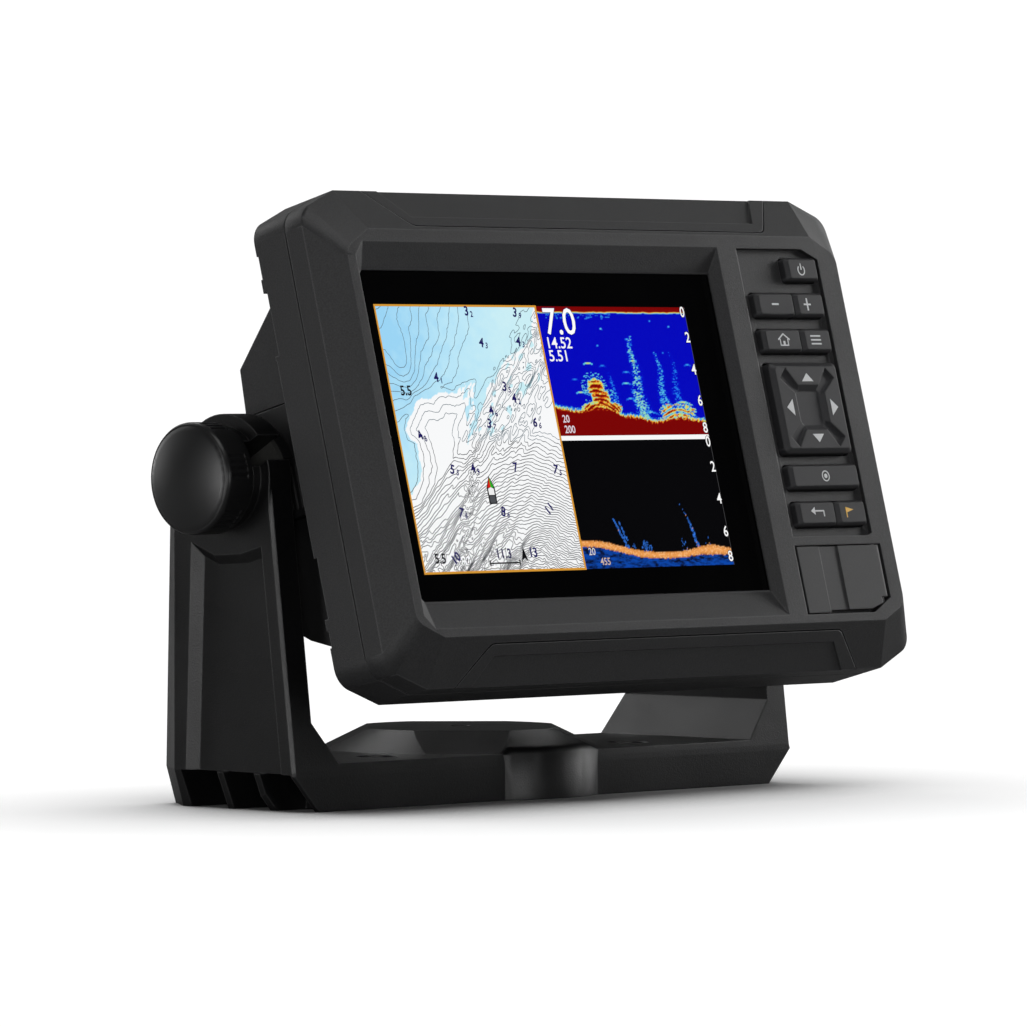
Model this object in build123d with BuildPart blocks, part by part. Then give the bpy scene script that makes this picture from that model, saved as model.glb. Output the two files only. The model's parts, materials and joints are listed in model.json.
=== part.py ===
"""Bail-mounted chartplotter display, 5-inch class.

Units are millimetres.  Z is up, the screen looks towards -Y and the origin is
the centre of the round base boss on the underside of the bracket.  Right is +X.
The head leans back.  Its pieces are drawn in head coordinates: x is the
object's X, y runs up the face and z comes out towards the viewer, with z = 0
half a millimetre in front of the lip that holds the cover glass.
"""
import os
from math import cos, hypot, radians, sin

from build123d import *

os.makedirs("parts", exist_ok=True)

CUT = Mode.SUBTRACT
SIDES = (-1, 1)              # left, right

# ---------------------------------------------------------------- dimensions
# head placement
TILT = 14.88                 # backwards lean of the face at rest, degrees
HEAD_Y, HEAD_Z = -55.9, 88.09
TILT_SIN, TILT_COS = sin(radians(TILT)), cos(radians(TILT))

# head outline at the crease, the widest line of the front
HEAD_HALF_W = 93.1
Y_TOP, Y_BOT = 61.0, -58.9
Y_SIDE_TOP, Y_SIDE_BOT = 55.8, -53.6
CORNER_X = 80.7
CORNER_R = 5.5               # rounding of the four side corners
# outline of the flat face
FACE_HALF_W = 86.6
FACE_TOP, FACE_BOT = 49.9, -48.1
FACE_SIDE_TOP, FACE_SIDE_BOT = 45.2, -44.2
FACE_CORNER_X = 78.3
FACE_CORNER_R = 4.0
# head levels, front to back
Z_FACE, Z_CREASE, Z_SEAM, Z_REAR = 2.5, -4.14, -9.94, -20.7
RIM_WALL = 5.0
SEAM_HALF_W, SEAM_DEPTH = 0.22, 0.7     # groove along the case joint
REAR_CHAMFER = 0.3
SCREW_XY = [(x, y) for x in (-86.5, 86.5) for y in (-46.0, 1.0, 48.0)]

# glass opening and mouth of the screen recess: left, right, bottom, top
GLASS_L, GLASS_R, GLASS_B, GLASS_T = -82.1, 40.9, -39.0, 40.6
MOUTH_L, MOUTH_R, MOUTH_B, MOUTH_T = -83.9, 42.9, -46.1, 46.9
GLASS_C = ((GLASS_L + GLASS_R) / 2, (GLASS_B + GLASS_T) / 2)
OPENING_W, OPENING_H = GLASS_R - GLASS_L, GLASS_T - GLASS_B
Z_GLASS_LIP, Z_GLASS_TOP, Z_GLASS_BACK = -0.5, -0.8, -2.6

# boards inside the head
LCD_X = -23.93
Z_LCD_BACK = -4.6
Z_FRAME_BACK = -8.2
Z_BOARD_BACK, BOARD_T = -12.0, 1.6
BOARD_XY = [(-76.0, 40.0), (-76.0, -33.0), (32.0, 40.0), (32.0, -33.0)]
SHIELD_C = (-45, 12)
ANTENNA_C = (10, 30)
BUZZER_C = (34, 28)

# keypad
Z_PAD, Z_PAD_BACK = 1.2, -0.6           # floor of the keypad recess, front and back
Z_MEMBRANE_BACK, MEMBRANE_T = -4.4, 0.9
KEY_GAP = 0.35
KEY_SHOULDER, KEY_TOP = 2.6, 3.4
PAD_X0, PAD_X1, PAD_X1_LOW = 52.3, 78.4, 78.6   # the lower rows reach further right
POWER_X0 = 66.0
PAD_SPLIT, SPLIT_LAP = 67.0, 0.15
LEFT_X1, RIGHT_X0 = PAD_SPLIT + SPLIT_LAP, PAD_SPLIT - SPLIT_LAP
ROW_POWER = (38.05, 44.60)
ROW_ZOOM = (28.90, 35.60)
ROW_HOME = (19.80, 26.40)
ROW_DPAD = (-6.10, 17.70)
ROW_SELECT = (-14.95, -8.20)
ROW_BACK = (-24.30, -17.50)
# openings in the bezel: left, right, (bottom, top)
KEY_OPENINGS = [
    (POWER_X0, PAD_X1_LOW, ROW_POWER), (PAD_X0, PAD_X1, ROW_ZOOM), (PAD_X0, PAD_X1, ROW_HOME),
    (PAD_X0, 78.2, ROW_DPAD), (PAD_X0, PAD_X1_LOW, ROW_SELECT), (PAD_X0, PAD_X1_LOW, ROW_BACK),
]
# single keys: left, right, (bottom, top) of the space for each
KEYS = {
    "key_power": (POWER_X0, PAD_X1_LOW, ROW_POWER),
    "key_zoom_out": (PAD_X0, LEFT_X1, ROW_ZOOM),
    "key_zoom_in": (RIGHT_X0, PAD_X1, ROW_ZOOM),
    "key_home": (PAD_X0, LEFT_X1, ROW_HOME),
    "key_menu": (RIGHT_X0, PAD_X1, ROW_HOME),
    "key_select": (PAD_X0, PAD_X1_LOW, ROW_SELECT),
    "key_back": (PAD_X0, LEFT_X1, ROW_BACK),
    "key_mark": (RIGHT_X0, PAD_X1_LOW, ROW_BACK),
}
DPAD_X, DPAD_Y = DPAD_C = (65.25, 5.80)
DPAD_W, DPAD_H = 25.1, 23.0
DPAD_STEMS = [
    (DPAD_X + 8.5, DPAD_Y), (DPAD_X - 8.5, DPAD_Y),
    (DPAD_X, DPAD_Y + 8.0), (DPAD_X, DPAD_Y - 8.0),
]
BALL_Z, BALL_R, BALL_GAP = -0.4, 1.6, 0.05

# card door
DOOR_X0, DOOR_X1, DOOR_Y0, DOOR_Y1 = 49.6, 81.9, -46.1, -28.8
DOOR_GAP = 0.3
HINGE_X, HINGE_Z, KNUCKLE_R = 80.2, 1.0, 1.5
CARD_C = (71.5, -36.6)

# tilt pivot, in object coordinates and in head coordinates
PIVOT_Y, PIVOT_Z = PIVOT = (-7.6, 78.4)
HEAD_PIVOT = (
    (PIVOT_Y - HEAD_Y) * TILT_SIN + (PIVOT_Z - HEAD_Z) * TILT_COS,
    -(PIVOT_Y - HEAD_Y) * TILT_COS + (PIVOT_Z - HEAD_Z) * TILT_SIN,
)

# bracket
ARM_OUT, ARM_IN = 88.2, 81.0
ARM_T = ARM_OUT - ARM_IN
BASE_H = 11.2
FOOT_H = 9                   # top of the slanted foot edge and of the cells
ARM_FRONT, PLATE_REAR = -30.9, 21.0
HUB_R = 15.2
BOSS_R, BOSS_TOP_R, BOSS_H = 35.0, 25.7, 16.4
BOLT_XY = [(x, y) for x in (-44.5, 44.5) for y in (-15.0, 15.0)]
BOLT_R, BOLT_SEAT_R = 2.6, 5.2
STUD_R, SLOT_HALF = 3.0, 3.3

# knob
KNOB_R = 13.3
COLLAR_R, COLLAR_H = 12.3, 2.4          # raised ring on the arm behind the knob
KNOB_X = ARM_OUT + COLLAR_H + 0.1
DOME_X, DOME_EDGE_R, DOME_H = 9.3, 12.3, 11.0    # rim and tip of the domed cap
DOME_C = (DOME_X ** 2 + DOME_EDGE_R ** 2 - DOME_H ** 2) / (2 * (DOME_X - DOME_H))
DOME_R = DOME_H - DOME_C
STUD_TIP = KNOB_X + 6.4
STUD_END = 70.5
INSERT_R, INSERT_X = 4.5, 79.5

# cradle and its release latch
CRADLE_HALF_W, CRADLE_IN = 76, 73
LATCH_Y0, LATCH_Y1, LATCH_Z0, LATCH_Z1 = -9.4, 4.4, -44.4, -33.6    # paddle
LATCH_Y = (LATCH_Y0 + LATCH_Y1) / 2
LATCH_Z = (LATCH_Z0 + LATCH_Z1) / 2
LATCH_PIN_X, LATCH_PIN_Z = -72.8, -42.6
LATCH_PIN_R, LATCH_HOLE_R = 1.0, 1.05

# sockets and vent on the back wall
Z_BACK_WALL = -30            # outside of the lower bulge
POWER_C, SONAR_C, VENT_C = (-18, -12), (14, -12), (52, 6)


# ------------------------------------------------------------------- planes
def head_point(x, y, z):
    """Object coordinates of a point given in head coordinates."""
    return (x, HEAD_Y + y * TILT_SIN - z * TILT_COS, HEAD_Z + y * TILT_COS + z * TILT_SIN)


def head(z):
    """Plane parallel to the front face at head height z."""
    return Plane(
        origin=(0, HEAD_Y, HEAD_Z), x_dir=(1, 0, 0), z_dir=(0, -TILT_COS, TILT_SIN)
    ).offset(z)


def side(x):
    """Plane across the head at x; local axes are head y and head z, normal +X."""
    return Plane(origin=(x, HEAD_Y, HEAD_Z), x_dir=(0, TILT_SIN, TILT_COS), z_dir=(1, 0, 0))


def up_face(x, y, z):
    """Plane at a head point, with its normal running up the face."""
    return Plane(origin=head_point(x, y, z), x_dir=(1, 0, 0), z_dir=(0, TILT_SIN, TILT_COS))


def upright(x):
    """Upright plane across the bracket at x; local axes are Y and Z, normal +X."""
    return Plane(origin=(x, 0, 0), x_dir=(0, 1, 0), z_dir=(1, 0, 0))


# ------------------------------------------------------------------ helpers
# The first three draw their own sketch and hand its extrusion to the part being built.
def prism(plane, points, depth, mode=Mode.ADD):
    """Extruded closed polygon."""
    with BuildSketch(plane) as section:
        with BuildLine():
            Polyline(*points, close=True)
        make_face()
    extrude(section.sketch, amount=depth, dir=plane.z_dir, mode=mode)


def discs(plane, radius, depth, *centres, hole=0, mode=Mode.ADD):
    """Extruded circles, or rings if hole is a radius; centred on the plane by default."""
    with BuildSketch(plane) as section:
        with Locations(*(centres or [(0, 0)])):
            Circle(radius)
            if hole:
                Circle(hole, mode=CUT)
    extrude(section.sketch, amount=depth, dir=plane.z_dir, mode=mode)


def blocks(plane, size, depth, *centres, corner=0, mode=Mode.ADD):
    """Extruded rectangles, with rounded corners if corner is a radius."""
    with BuildSketch(plane) as section:
        with Locations(*(centres or [(0, 0)])):
            if corner:
                RectangleRounded(*size, corner)
            else:
                Rectangle(*size)
    extrude(section.sketch, amount=depth, dir=plane.z_dir, mode=mode)


def outline(inset=0.0):
    """Eight-sided outline of the head, pulled in by inset."""
    half = inset * 0.5
    return [
        (-HEAD_HALF_W + inset, Y_SIDE_BOT + half), (-HEAD_HALF_W + inset, Y_SIDE_TOP - half),
        (-CORNER_X + half, Y_TOP - inset), (CORNER_X - half, Y_TOP - inset),
        (HEAD_HALF_W - inset, Y_SIDE_TOP - half), (HEAD_HALF_W - inset, Y_SIDE_BOT + half),
        (CORNER_X - half, Y_BOT + inset), (-CORNER_X + half, Y_BOT + inset),
    ]


FACE_OUTLINE = [
    (-FACE_HALF_W, FACE_SIDE_BOT), (-FACE_HALF_W, FACE_SIDE_TOP),
    (-FACE_CORNER_X, FACE_TOP), (FACE_CORNER_X, FACE_TOP),
    (FACE_HALF_W, FACE_SIDE_TOP), (FACE_HALF_W, FACE_SIDE_BOT),
    (FACE_CORNER_X, FACE_BOT), (-FACE_CORNER_X, FACE_BOT),
]


def outline_ring(z, outer_inset, inner_inset, depth, mode=Mode.ADD):
    """Extruded band that follows the head outline."""
    plane = head(z)
    with BuildSketch(plane) as section:
        with BuildLine():
            Polyline(*outline(outer_inset), close=True)
        make_face()
        with BuildLine():
            Polyline(*outline(inner_inset), close=True)
        make_face(mode=CUT)
    extrude(section.sketch, amount=depth, dir=plane.z_dir, mode=mode)


def round_sides(sketch, radius):
    """Round the four corners where the sides meet the cut corners."""
    fillet(sketch.vertices().sort_by(lambda v: -abs(v.X))[:4], radius)


def head_shell(z0, z1, *lofts):
    """Solid head body: straight from z0 to z1, then lofts between pairs of stations.

    A station is (z, outline points, corner radius).
    """
    with BuildPart(mode=Mode.PRIVATE) as shell:
        with BuildSketch(head(z0)) as section:
            with BuildLine():
                Polyline(*outline(), close=True)
            make_face()
            round_sides(section, CORNER_R)
        extrude(amount=z1 - z0)
        for stations in lofts:
            for z, points, radius in stations:
                with BuildSketch(head(z)) as section:
                    with BuildLine():
                        Polyline(*points, close=True)
                    make_face()
                    round_sides(section, radius)
            loft(ruled=True)
    return shell.part


def save(builder, label):
    builder.part.label = label
    export_step(builder.part, f"parts/{label}.step")


# ------------------------------------------------------------- bail bracket
with BuildPart() as bail_bracket:
    # U-shaped cross-section, swept front to back
    prism(Plane.XZ.offset(34), [
        (-84.3, 0), (84.3, 0), (ARM_OUT, FOOT_H), (ARM_OUT, PIVOT_Z),
        (ARM_IN, PIVOT_Z), (ARM_IN, 21), (73, BASE_H), (-73, BASE_H),
        (-ARM_IN, 21), (-ARM_IN, PIVOT_Z), (-ARM_OUT, PIVOT_Z), (-ARM_OUT, FOOT_H),
    ], -70)
    # arms lean back in side view
    prism(upright(-100), [
        (ARM_FRONT, -1), (ARM_FRONT, 9), (PIVOT_Y - HUB_R + 0.1, 76),
        (PIVOT_Y - HUB_R + 0.1, 80), (11.5, 80), (14.7, 68),
        (PLATE_REAR - 0.6, 9), (PLATE_REAR, -1),
    ], 200, mode=Mode.INTERSECT)
    # narrow chamfer down the front outer corner of each arm
    front_corners = [
        e for e in bail_bracket.edges()
        if all(abs(abs(v.X) - ARM_OUT) < 0.01 and v.Y < -20 for v in e.vertices())
        and e.length > 40
    ]
    chamfer(front_corners, 0.7)
    # round hub at the top of each arm
    for x in (-ARM_OUT, ARM_IN):
        discs(upright(x), HUB_R, ARM_T, PIVOT)
    # slanted facet down the outer rear corner of each arm
    for s in SIDES:
        prism(Plane.XY.offset(-1), [
            (s * 88.4, 9.2), (s * 79.2, 22.0), (s * 79.2, 40), (s * 92, 40), (s * 92, 9.2),
        ], 120, mode=CUT)
    # undercut lower corners of the feet, front and rear
    for s in SIDES:
        for origin, x_dir, normal in (
            ((s * 79.8, ARM_FRONT, 0), (s * 4.5, 21.9, 0), (s * 197.1, -40.5, -184.0)),
            ((s * 88.4, 9.2, FOOT_H), (-s * 9.2, 12.8, 0), (s * 7.3, 5.27, -2.6)),
        ):
            blocks(Plane(origin=origin, x_dir=x_dir, z_dir=normal), (150, 150), 60, mode=CUT)
    # low conical boss in the middle of the base, with four flats on its cone
    with BuildPart(mode=Mode.PRIVATE) as boss:
        with BuildSketch(upright(0)):
            with BuildLine():
                Polyline(
                    (0, 0), (BOSS_R, 0), (BOSS_R, BASE_H), (BOSS_TOP_R, BOSS_H), (0, BOSS_H),
                    close=True,
                )
            make_face()
        revolve(axis=Axis.Z)
        for sx, sy in ((-1, -1), (1, -1), (1, 1), (-1, 1)):
            dx, dy = sx * 0.70711, sy * 0.70711
            flat = Plane(
                origin=(33.9 * dx, 33.9 * dy, BASE_H),
                x_dir=(-dy, dx, 0), z_dir=(5.2 * dx, 5.2 * dy, 11.0),
            )
            blocks(flat, (60, 60), 8, mode=CUT)
    add(boss.part)
    # full round below the cone, where the flats cut into it
    discs(Plane.XY, BOSS_R, BASE_H)
    # raised ring round the pivot on the outside of each arm
    for s in SIDES:
        discs(upright(s * (ARM_OUT - 0.5)), COLLAR_R, s * (COLLAR_H + 0.5), PIVOT)
    # recessed outer panel on each arm, with sloping walls and a level lower end
    for s in SIDES:
        with BuildPart(mode=Mode.PRIVATE) as panel:
            with BuildSketch(upright(s * ARM_OUT)):
                with BuildLine():
                    Polyline(
                        (-27.6, 2), (-20.0, 62.5), (-13.0, 60.6), (-4.0, 60.2),
                        (3.6, 63.2), (5.7, 2), close=True,
                    )
                make_face()
            extrude(amount=-s * 2.3, taper=45)
            blocks(Plane.XY.offset(FOOT_H - 0.01), (300, 200), -20, mode=CUT)
        add(panel.part, mode=CUT)
    # open cells under the foot of each arm
    for s in SIDES:
        for y0, y1 in ((-29.7, -19.3), (-17.4, -6.95), (-5.0, 7.4)):
            prism(Plane.XZ.offset(-y1), [
                (s * 72.6, -1), (s * 72.6, 7.4), (s * 74.4, FOOT_H), (s * 89, FOOT_H), (s * 89, -1),
            ], y1 - y0, mode=CUT)
    # hollow underside between the feet
    blocks(Plane.XY, (20, 30), BASE_H - 3.2, (-60.5, -4.5), (60.5, -4.5), corner=2, mode=CUT)
    discs(Plane.XY, 22, BOSS_H - 4.0, hole=6.5, mode=CUT)
    # fixing holes, with round seats for the outer four
    discs(Plane.XY.offset(-1), BOLT_R, 30, *BOLT_XY, mode=CUT)
    discs(Plane.XY.offset(-1), 2.5, 30, mode=CUT)
    discs(Plane.XY.offset(BASE_H - 1.2), BOLT_SEAT_R, 10, *BOLT_XY, mode=CUT)
    # open-fronted slots for the clamp studs, rising towards the front
    for x in (-ARM_OUT - 4, ARM_IN - 4):
        with BuildSketch(upright(x)):
            with Locations(PIVOT):
                Circle(SLOT_HALF)
            with Locations(Location(PIVOT, 150)):
                Rectangle(26, 2 * SLOT_HALF, align=(Align.MIN, Align.CENTER))
        extrude(amount=ARM_T + 8, mode=CUT)
save(bail_bracket, "bail_bracket")


# --------------------------------------- knobs, studs, washers and inserts
# s is -1 for the left-hand piece and 1 for the right-hand one
def knob(s, label):
    x = s * KNOB_X
    with BuildPart() as body:
        # half profile: distance outwards from the arm, radius
        with BuildSketch(Plane(origin=(x, *PIVOT), x_dir=(s, 0, 0), z_dir=(0, 1, 0))):
            with BuildLine():
                Polyline(
                    (0, 0), (0, KNOB_R - 1.0), (0.9, KNOB_R - 0.1), (7.9, KNOB_R),
                    (8.6, KNOB_R - 0.12), (9.1, KNOB_R - 0.45), (9.25, KNOB_R - 0.65),
                    (8.95, KNOB_R - 0.85), (DOME_X, DOME_EDGE_R),
                )
                ThreePointArc(
                    (DOME_X, DOME_EDGE_R),
                    (DOME_C + (DOME_R ** 2 - 6.2 ** 2) ** 0.5, 6.2),
                    (DOME_H, 0),
                )
                Line((DOME_H, 0), (0, 0))
            make_face()
        revolve(axis=Axis((x, *PIVOT), (1, 0, 0)))
        # socket for the stud
        discs(upright(x - s * 0.5), STUD_R, s * 7.0, PIVOT, mode=CUT)
        # finger grooves in six groups of four round the rim
        with BuildSketch(upright(x + s * 2.4)):
            with Locations(PIVOT):
                for offset in (-10.5, -3.5, 3.5, 10.5):
                    with PolarLocations(KNOB_R + 0.35, 6, start_angle=46.5 + offset):
                        Circle(0.72)
        extrude(amount=s * 5.4, mode=CUT)
    save(body, label)


def stud(s, label):
    with BuildPart() as rod:
        discs(upright(s * STUD_TIP), STUD_R, -s * (STUD_TIP - STUD_END), PIVOT)
        # bevel the inner end
        chamfer(rod.part.faces().sort_by(Axis.X)[-1 if s < 0 else 0].edges(), 0.6)
    save(rod, label)


def washer(s, label):
    with BuildPart() as ring:
        discs(upright(s * ARM_IN), 12.0, -s * 1.4, PIVOT, hole=3.2)
    save(ring, label)


def insert(s, label):
    with BuildPart() as sleeve:
        discs(upright(s * INSERT_X), INSERT_R, -s * 9.5, PIVOT, hole=STUD_R + 0.05)
        # groove round the outside
        discs(upright(s * 76.0), 4.6, -s * 1.2, PIVOT, hole=4.1, mode=CUT)
    save(sleeve, label)


for s, hand in ((-1, "left"), (1, "right")):
    knob(s, f"knob_{hand}")
    stud(s, f"clamp_stud_{hand}")
    washer(s, f"friction_washer_{hand}")
    insert(s, f"threaded_insert_{hand}")

# ------------------------------------------------------------------- cradle
# side profiles: head y, head z
CRADLE_OUTSIDE = [
    (17.9, Z_REAR), (17.9, -50.0), (13.5, -57.0), (8, -60.2), (-4, -60.6),
    (-22, -57.2), (-30, -53.0), (-34.7, -47.8), (-38.3, -42.8),
    (-41.0, -37.0), (-43.2, -28.0), (-43.8, Z_REAR),
]
CRADLE_INSIDE = [
    (14.9, Z_REAR + 1), (14.9, -49.0), (11.5, -54.4), (7.2, -57.2), (-4, -57.6),
    (-20.8, -54.4), (-28, -50.6), (-32.2, -45.9), (-35.7, -41.2),
    (-38.2, -35.8), (-40.2, -28.0), (-40.8, Z_REAR + 1),
]
with BuildPart() as cradle:
    prism(side(-CRADLE_HALF_W), CRADLE_OUTSIDE, 2 * CRADLE_HALF_W)
    prism(side(-CRADLE_IN), CRADLE_INSIDE, 2 * CRADLE_IN, mode=CUT)
    # opening in the top wall, front part, so the case bulge can seat
    blocks(head(Z_REAR + 1), (133.2, 6), -10.4, (0, 16), mode=CUT)
    # window for the sockets and cables
    blocks(head(-45), (72, 33), -20, (0, -9), corner=4, mode=CUT)
    # pivot bosses, outside and inside the side walls
    for s in SIDES:
        discs(side(s * CRADLE_IN), 12, s * 6.6, HEAD_PIVOT)
        discs(side(s * 69), 7.5, s * 4.5, HEAD_PIVOT)
    # window for the release latch in the left wall, with pin lugs inside
    blocks(
        side(-80), (LATCH_Y1 - LATCH_Y0 + 0.8, LATCH_Z1 - LATCH_Z0 + 1.8), 9,
        (LATCH_Y, LATCH_Z + 0.6), mode=CUT,
    )
    for y in (LATCH_Y0 - 3.6, LATCH_Y1 + 0.6):
        blocks(side(-74), (3.0, 5.6), 3.6, (y + 1.5, LATCH_PIN_Z))
    discs(up_face(LATCH_PIN_X, -13.2, LATCH_PIN_Z), LATCH_HOLE_R, 21.4, mode=CUT)
    # seats for the threaded inserts
    for s in SIDES:
        discs(side(s * 60), INSERT_R, s * 25, HEAD_PIVOT, mode=CUT)
    # shallow grip ribs along the lower back
    discs(side(-40), 0.8, 80, (-24.5, -56.0), (-26.6, -54.9), (-28.7, -53.8), (-31.2, -51.7))
save(cradle, "cradle")

with BuildPart() as release_latch:
    # paddle
    blocks(
        side(-77.6), (LATCH_Y1 - LATCH_Y0, LATCH_Z1 - LATCH_Z0), 3.2,
        (LATCH_Y, LATCH_Z), corner=0.8,
    )
    # hinge block, with a gap for the spring and a hole for the pin
    blocks(side(-74.5), (LATCH_Y1 - LATCH_Y0, 3.6), 3.3, (LATCH_Y, LATCH_PIN_Z))
    blocks(side(-74.3), (3.4, 6), 5, (-2.0, LATCH_PIN_Z), mode=CUT)
    discs(up_face(LATCH_PIN_X, -14, LATCH_PIN_Z), LATCH_HOLE_R, 24, mode=CUT)
    # four grip grooves on the outside
    grooves = [(LATCH_Y, LATCH_Z1 - 1.8 - 1.7 * i) for i in range(4)]
    blocks(side(-77.9), (10.4, 0.7), 0.6, *grooves, mode=CUT)
save(release_latch, "release_latch")

with BuildPart() as latch_pin:
    discs(up_face(LATCH_PIN_X, -12.8, LATCH_PIN_Z), LATCH_PIN_R, 20.6)
    chamfer(latch_pin.part.edges().filter_by(GeomType.CIRCLE), 0.2)
save(latch_pin, "latch_pin")

# spring drawn as five rings joined by a bar
SPRING_Y, SPRING_PITCH, SPRING_WIRE = -3.3, 0.56, 0.40
with BuildPart() as latch_spring:
    for i in range(5):
        coil = up_face(LATCH_PIN_X, SPRING_Y + SPRING_PITCH * i, LATCH_PIN_Z)
        discs(coil, 1.5, SPRING_WIRE, hole=1.12)
    blocks(
        up_face(LATCH_PIN_X, SPRING_Y, LATCH_PIN_Z), (SPRING_WIRE, SPRING_WIRE),
        4 * SPRING_PITCH + SPRING_WIRE, (1.35, 0),
    )
save(latch_spring, "latch_spring")

# ---------------------------------------------------------- bezel and trims
TRIM_T, TRIM_SEAT = 2.1, 2.2     # depth of a strip and of its seat below the slope
TRIM_GAP = 0.26                  # how much wider the seat is all round
TRIM_CLEAR = 2.0                 # reach of the cutting shapes outside the slope
TRIM_IN_X, TRIM_OUT_X = 62.0, 71.3
PAST_CREASE = -0.3               # slope fraction beyond the crease


def slope_point(top, along, out):
    """Side-view point on the top or bottom slope of the bezel.

    along runs from 0 at the crease to 1 at the face; out is square to the slope.
    """
    sign = 1 if top else -1
    crease, edge = (Y_TOP, FACE_TOP) if top else (Y_BOT, FACE_BOT)
    dy, dz = edge - crease, Z_FACE - Z_CREASE
    length = hypot(dy, dz)
    return (
        crease + dy * along + sign * dz / length * out,
        Z_CREASE + dz * along + abs(dy) / length * out,
    )


def trim_prism(top, inner, spread):
    """Region under one trim strip: slanted in section, flared in plan."""
    sign = 1 if top else -1
    y_in = (51.1 if top else -50.0) - sign * spread
    y_crease = Y_TOP if top else Y_BOT
    y_out = y_crease + sign * 2
    x_in, x_out = TRIM_IN_X + spread, TRIM_OUT_X + spread
    with BuildPart(mode=Mode.PRIVATE) as region:
        prism(side(-80), [
            slope_point(top, 0, -inner), slope_point(top, 1, -inner),
            slope_point(top, 1, TRIM_CLEAR), slope_point(top, PAST_CREASE, TRIM_CLEAR),
            slope_point(top, PAST_CREASE, -inner),
        ], 160)
        prism(head(-12), [
            (-x_in, y_in), (x_in, y_in), (x_out, y_crease),
            (x_out, y_out), (-x_out, y_out), (-x_out, y_crease),
        ], 18, mode=Mode.INTERSECT)
        # round the inner corners of the plan, if the slanted cut leaves their edges
        edges = region.part.edges().filter_by(
            lambda e: abs(e.tangent_at(0.5).Z) > 0.2 and abs(abs(e.center().X) - x_in) < 0.3
        )
        if len(edges):
            fillet(edges, 3.5 + spread)
    return region.part


def trim_panel(top):
    """Flat relief cut into the outer face of a trim strip."""
    y_in = 53.6 if top else -52.5
    y_out = Y_TOP + 2 if top else Y_BOT - 2
    with BuildPart(mode=Mode.PRIVATE) as relief:
        prism(side(-70), [
            slope_point(top, PAST_CREASE, -0.55), slope_point(top, 1, -0.55),
            slope_point(top, 1, TRIM_CLEAR), slope_point(top, PAST_CREASE, TRIM_CLEAR),
        ], 140)
        prism(
            head(-12), [(-60.5, y_in), (60.5, y_in), (67.6, y_out), (-67.6, y_out)], 18,
            mode=Mode.INTERSECT,
        )
    return relief.part


bezel_outer = head_shell(
    Z_SEAM + SEAM_HALF_W, Z_CREASE,
    (
        (Z_SEAM, outline(SEAM_DEPTH), CORNER_R),
        (Z_SEAM + SEAM_HALF_W, outline(), CORNER_R),
    ),
    (
        (Z_CREASE, outline(), CORNER_R),
        (Z_FACE, FACE_OUTLINE, FACE_CORNER_R),
    ),
)
top_cut = trim_prism(True, TRIM_SEAT, TRIM_GAP)
bottom_cut = trim_prism(False, TRIM_SEAT, TRIM_GAP)

with BuildPart() as front_bezel:
    add(bezel_outer)
    # main cavity behind the face
    prism(head(Z_SEAM - 1), outline(RIM_WALL), 5.74, mode=CUT)
    blocks(head(-6.5), (171, 95), 3.5, (0.2, 0.8), corner=3, mode=CUT)
    # screw columns
    discs(head(Z_SEAM), 3.6, 4.9, *SCREW_XY)
    discs(head(Z_SEAM - 0.1), 1.45, 4.7, *SCREW_XY, mode=CUT)
    # tapered mouth of the screen recess, cut corners at its left
    for z, left, right, bottom, top, corner_x, corner_y in (
        (Z_FACE, MOUTH_L, MOUTH_R, MOUTH_B, MOUTH_T, 3.0, 3.2),
        (Z_GLASS_LIP, GLASS_L, GLASS_R, GLASS_B, GLASS_T, 2.1, 2.1),
    ):
        with BuildSketch(head(z)):
            with BuildLine():
                Polyline(
                    (left, bottom + corner_y), (left, top - corner_y), (left + corner_x, top),
                    (right, top), (right, bottom), (left + corner_x, bottom), close=True,
                )
            make_face()
    loft(ruled=True, mode=CUT)
    # pocket for the glass behind the lip
    blocks(head(-3.5), (OPENING_W + 4.5, OPENING_H + 4.7), 3.0, GLASS_C, corner=2.2, mode=CUT)
    # keypad recess, and the keypad cavity behind its floor
    prism(head(Z_PAD), [
        (49.8, -26.5), (49.8, 46.6), (74.0, 46.7), (79.65, 44.0), (79.65, -26.0), (78.0, -26.6),
    ], 4, mode=CUT)
    blocks(head(-3.5), (34.5, 76.2), 3.5 + Z_PAD_BACK, (65.75, 9.9), corner=2, mode=CUT)
    for x0, x1, (y0, y1) in KEY_OPENINGS:
        blocks(
            head(-2), (x1 - x0, y1 - y0), 6, ((x0 + x1) / 2, (y0 + y1) / 2),
            corner=1.1, mode=CUT,
        )
    # card door pocket, hinge trough, pin hole and card slot
    prism(head(0.4), [
        (DOOR_X0, DOOR_Y0), (DOOR_X0, DOOR_Y1), (DOOR_X1, DOOR_Y1), (DOOR_X1, -42.5),
        (74.9, DOOR_Y0),
    ], 4, mode=CUT)
    blocks(
        head(-0.7), (3.6, DOOR_Y1 + 42.6), 4, (DOOR_X1 - 1.8, (DOOR_Y1 - 42.6) / 2), mode=CUT
    )
    discs(up_face(HINGE_X, -44.4, HINGE_Z), 0.62, 16.8, mode=CUT)
    blocks(head(-4), (1.6, 12.2), 6, CARD_C, mode=CUT)
    # seats for the two snap-on trim strips
    add(top_cut, mode=CUT)
    add(bottom_cut, mode=CUT)
    # flush-mounting screw holes under the trim ends
    flush_holes = [(-60, 55.0), (60, 55.0), (-60, -53.6), (60, -53.6)]
    discs(head(-12), 1.8, 16, *flush_holes, mode=CUT)
save(front_bezel, "front_bezel")

for top, label in ((True, "top_trim"), (False, "bottom_trim")):
    strip = trim_prism(top, TRIM_T, 0.0)
    relief = trim_panel(top)
    with BuildPart() as trim:
        add(bezel_outer)
        add(strip, mode=Mode.INTERSECT)
        add(relief, mode=CUT)
    save(trim, label)

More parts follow.
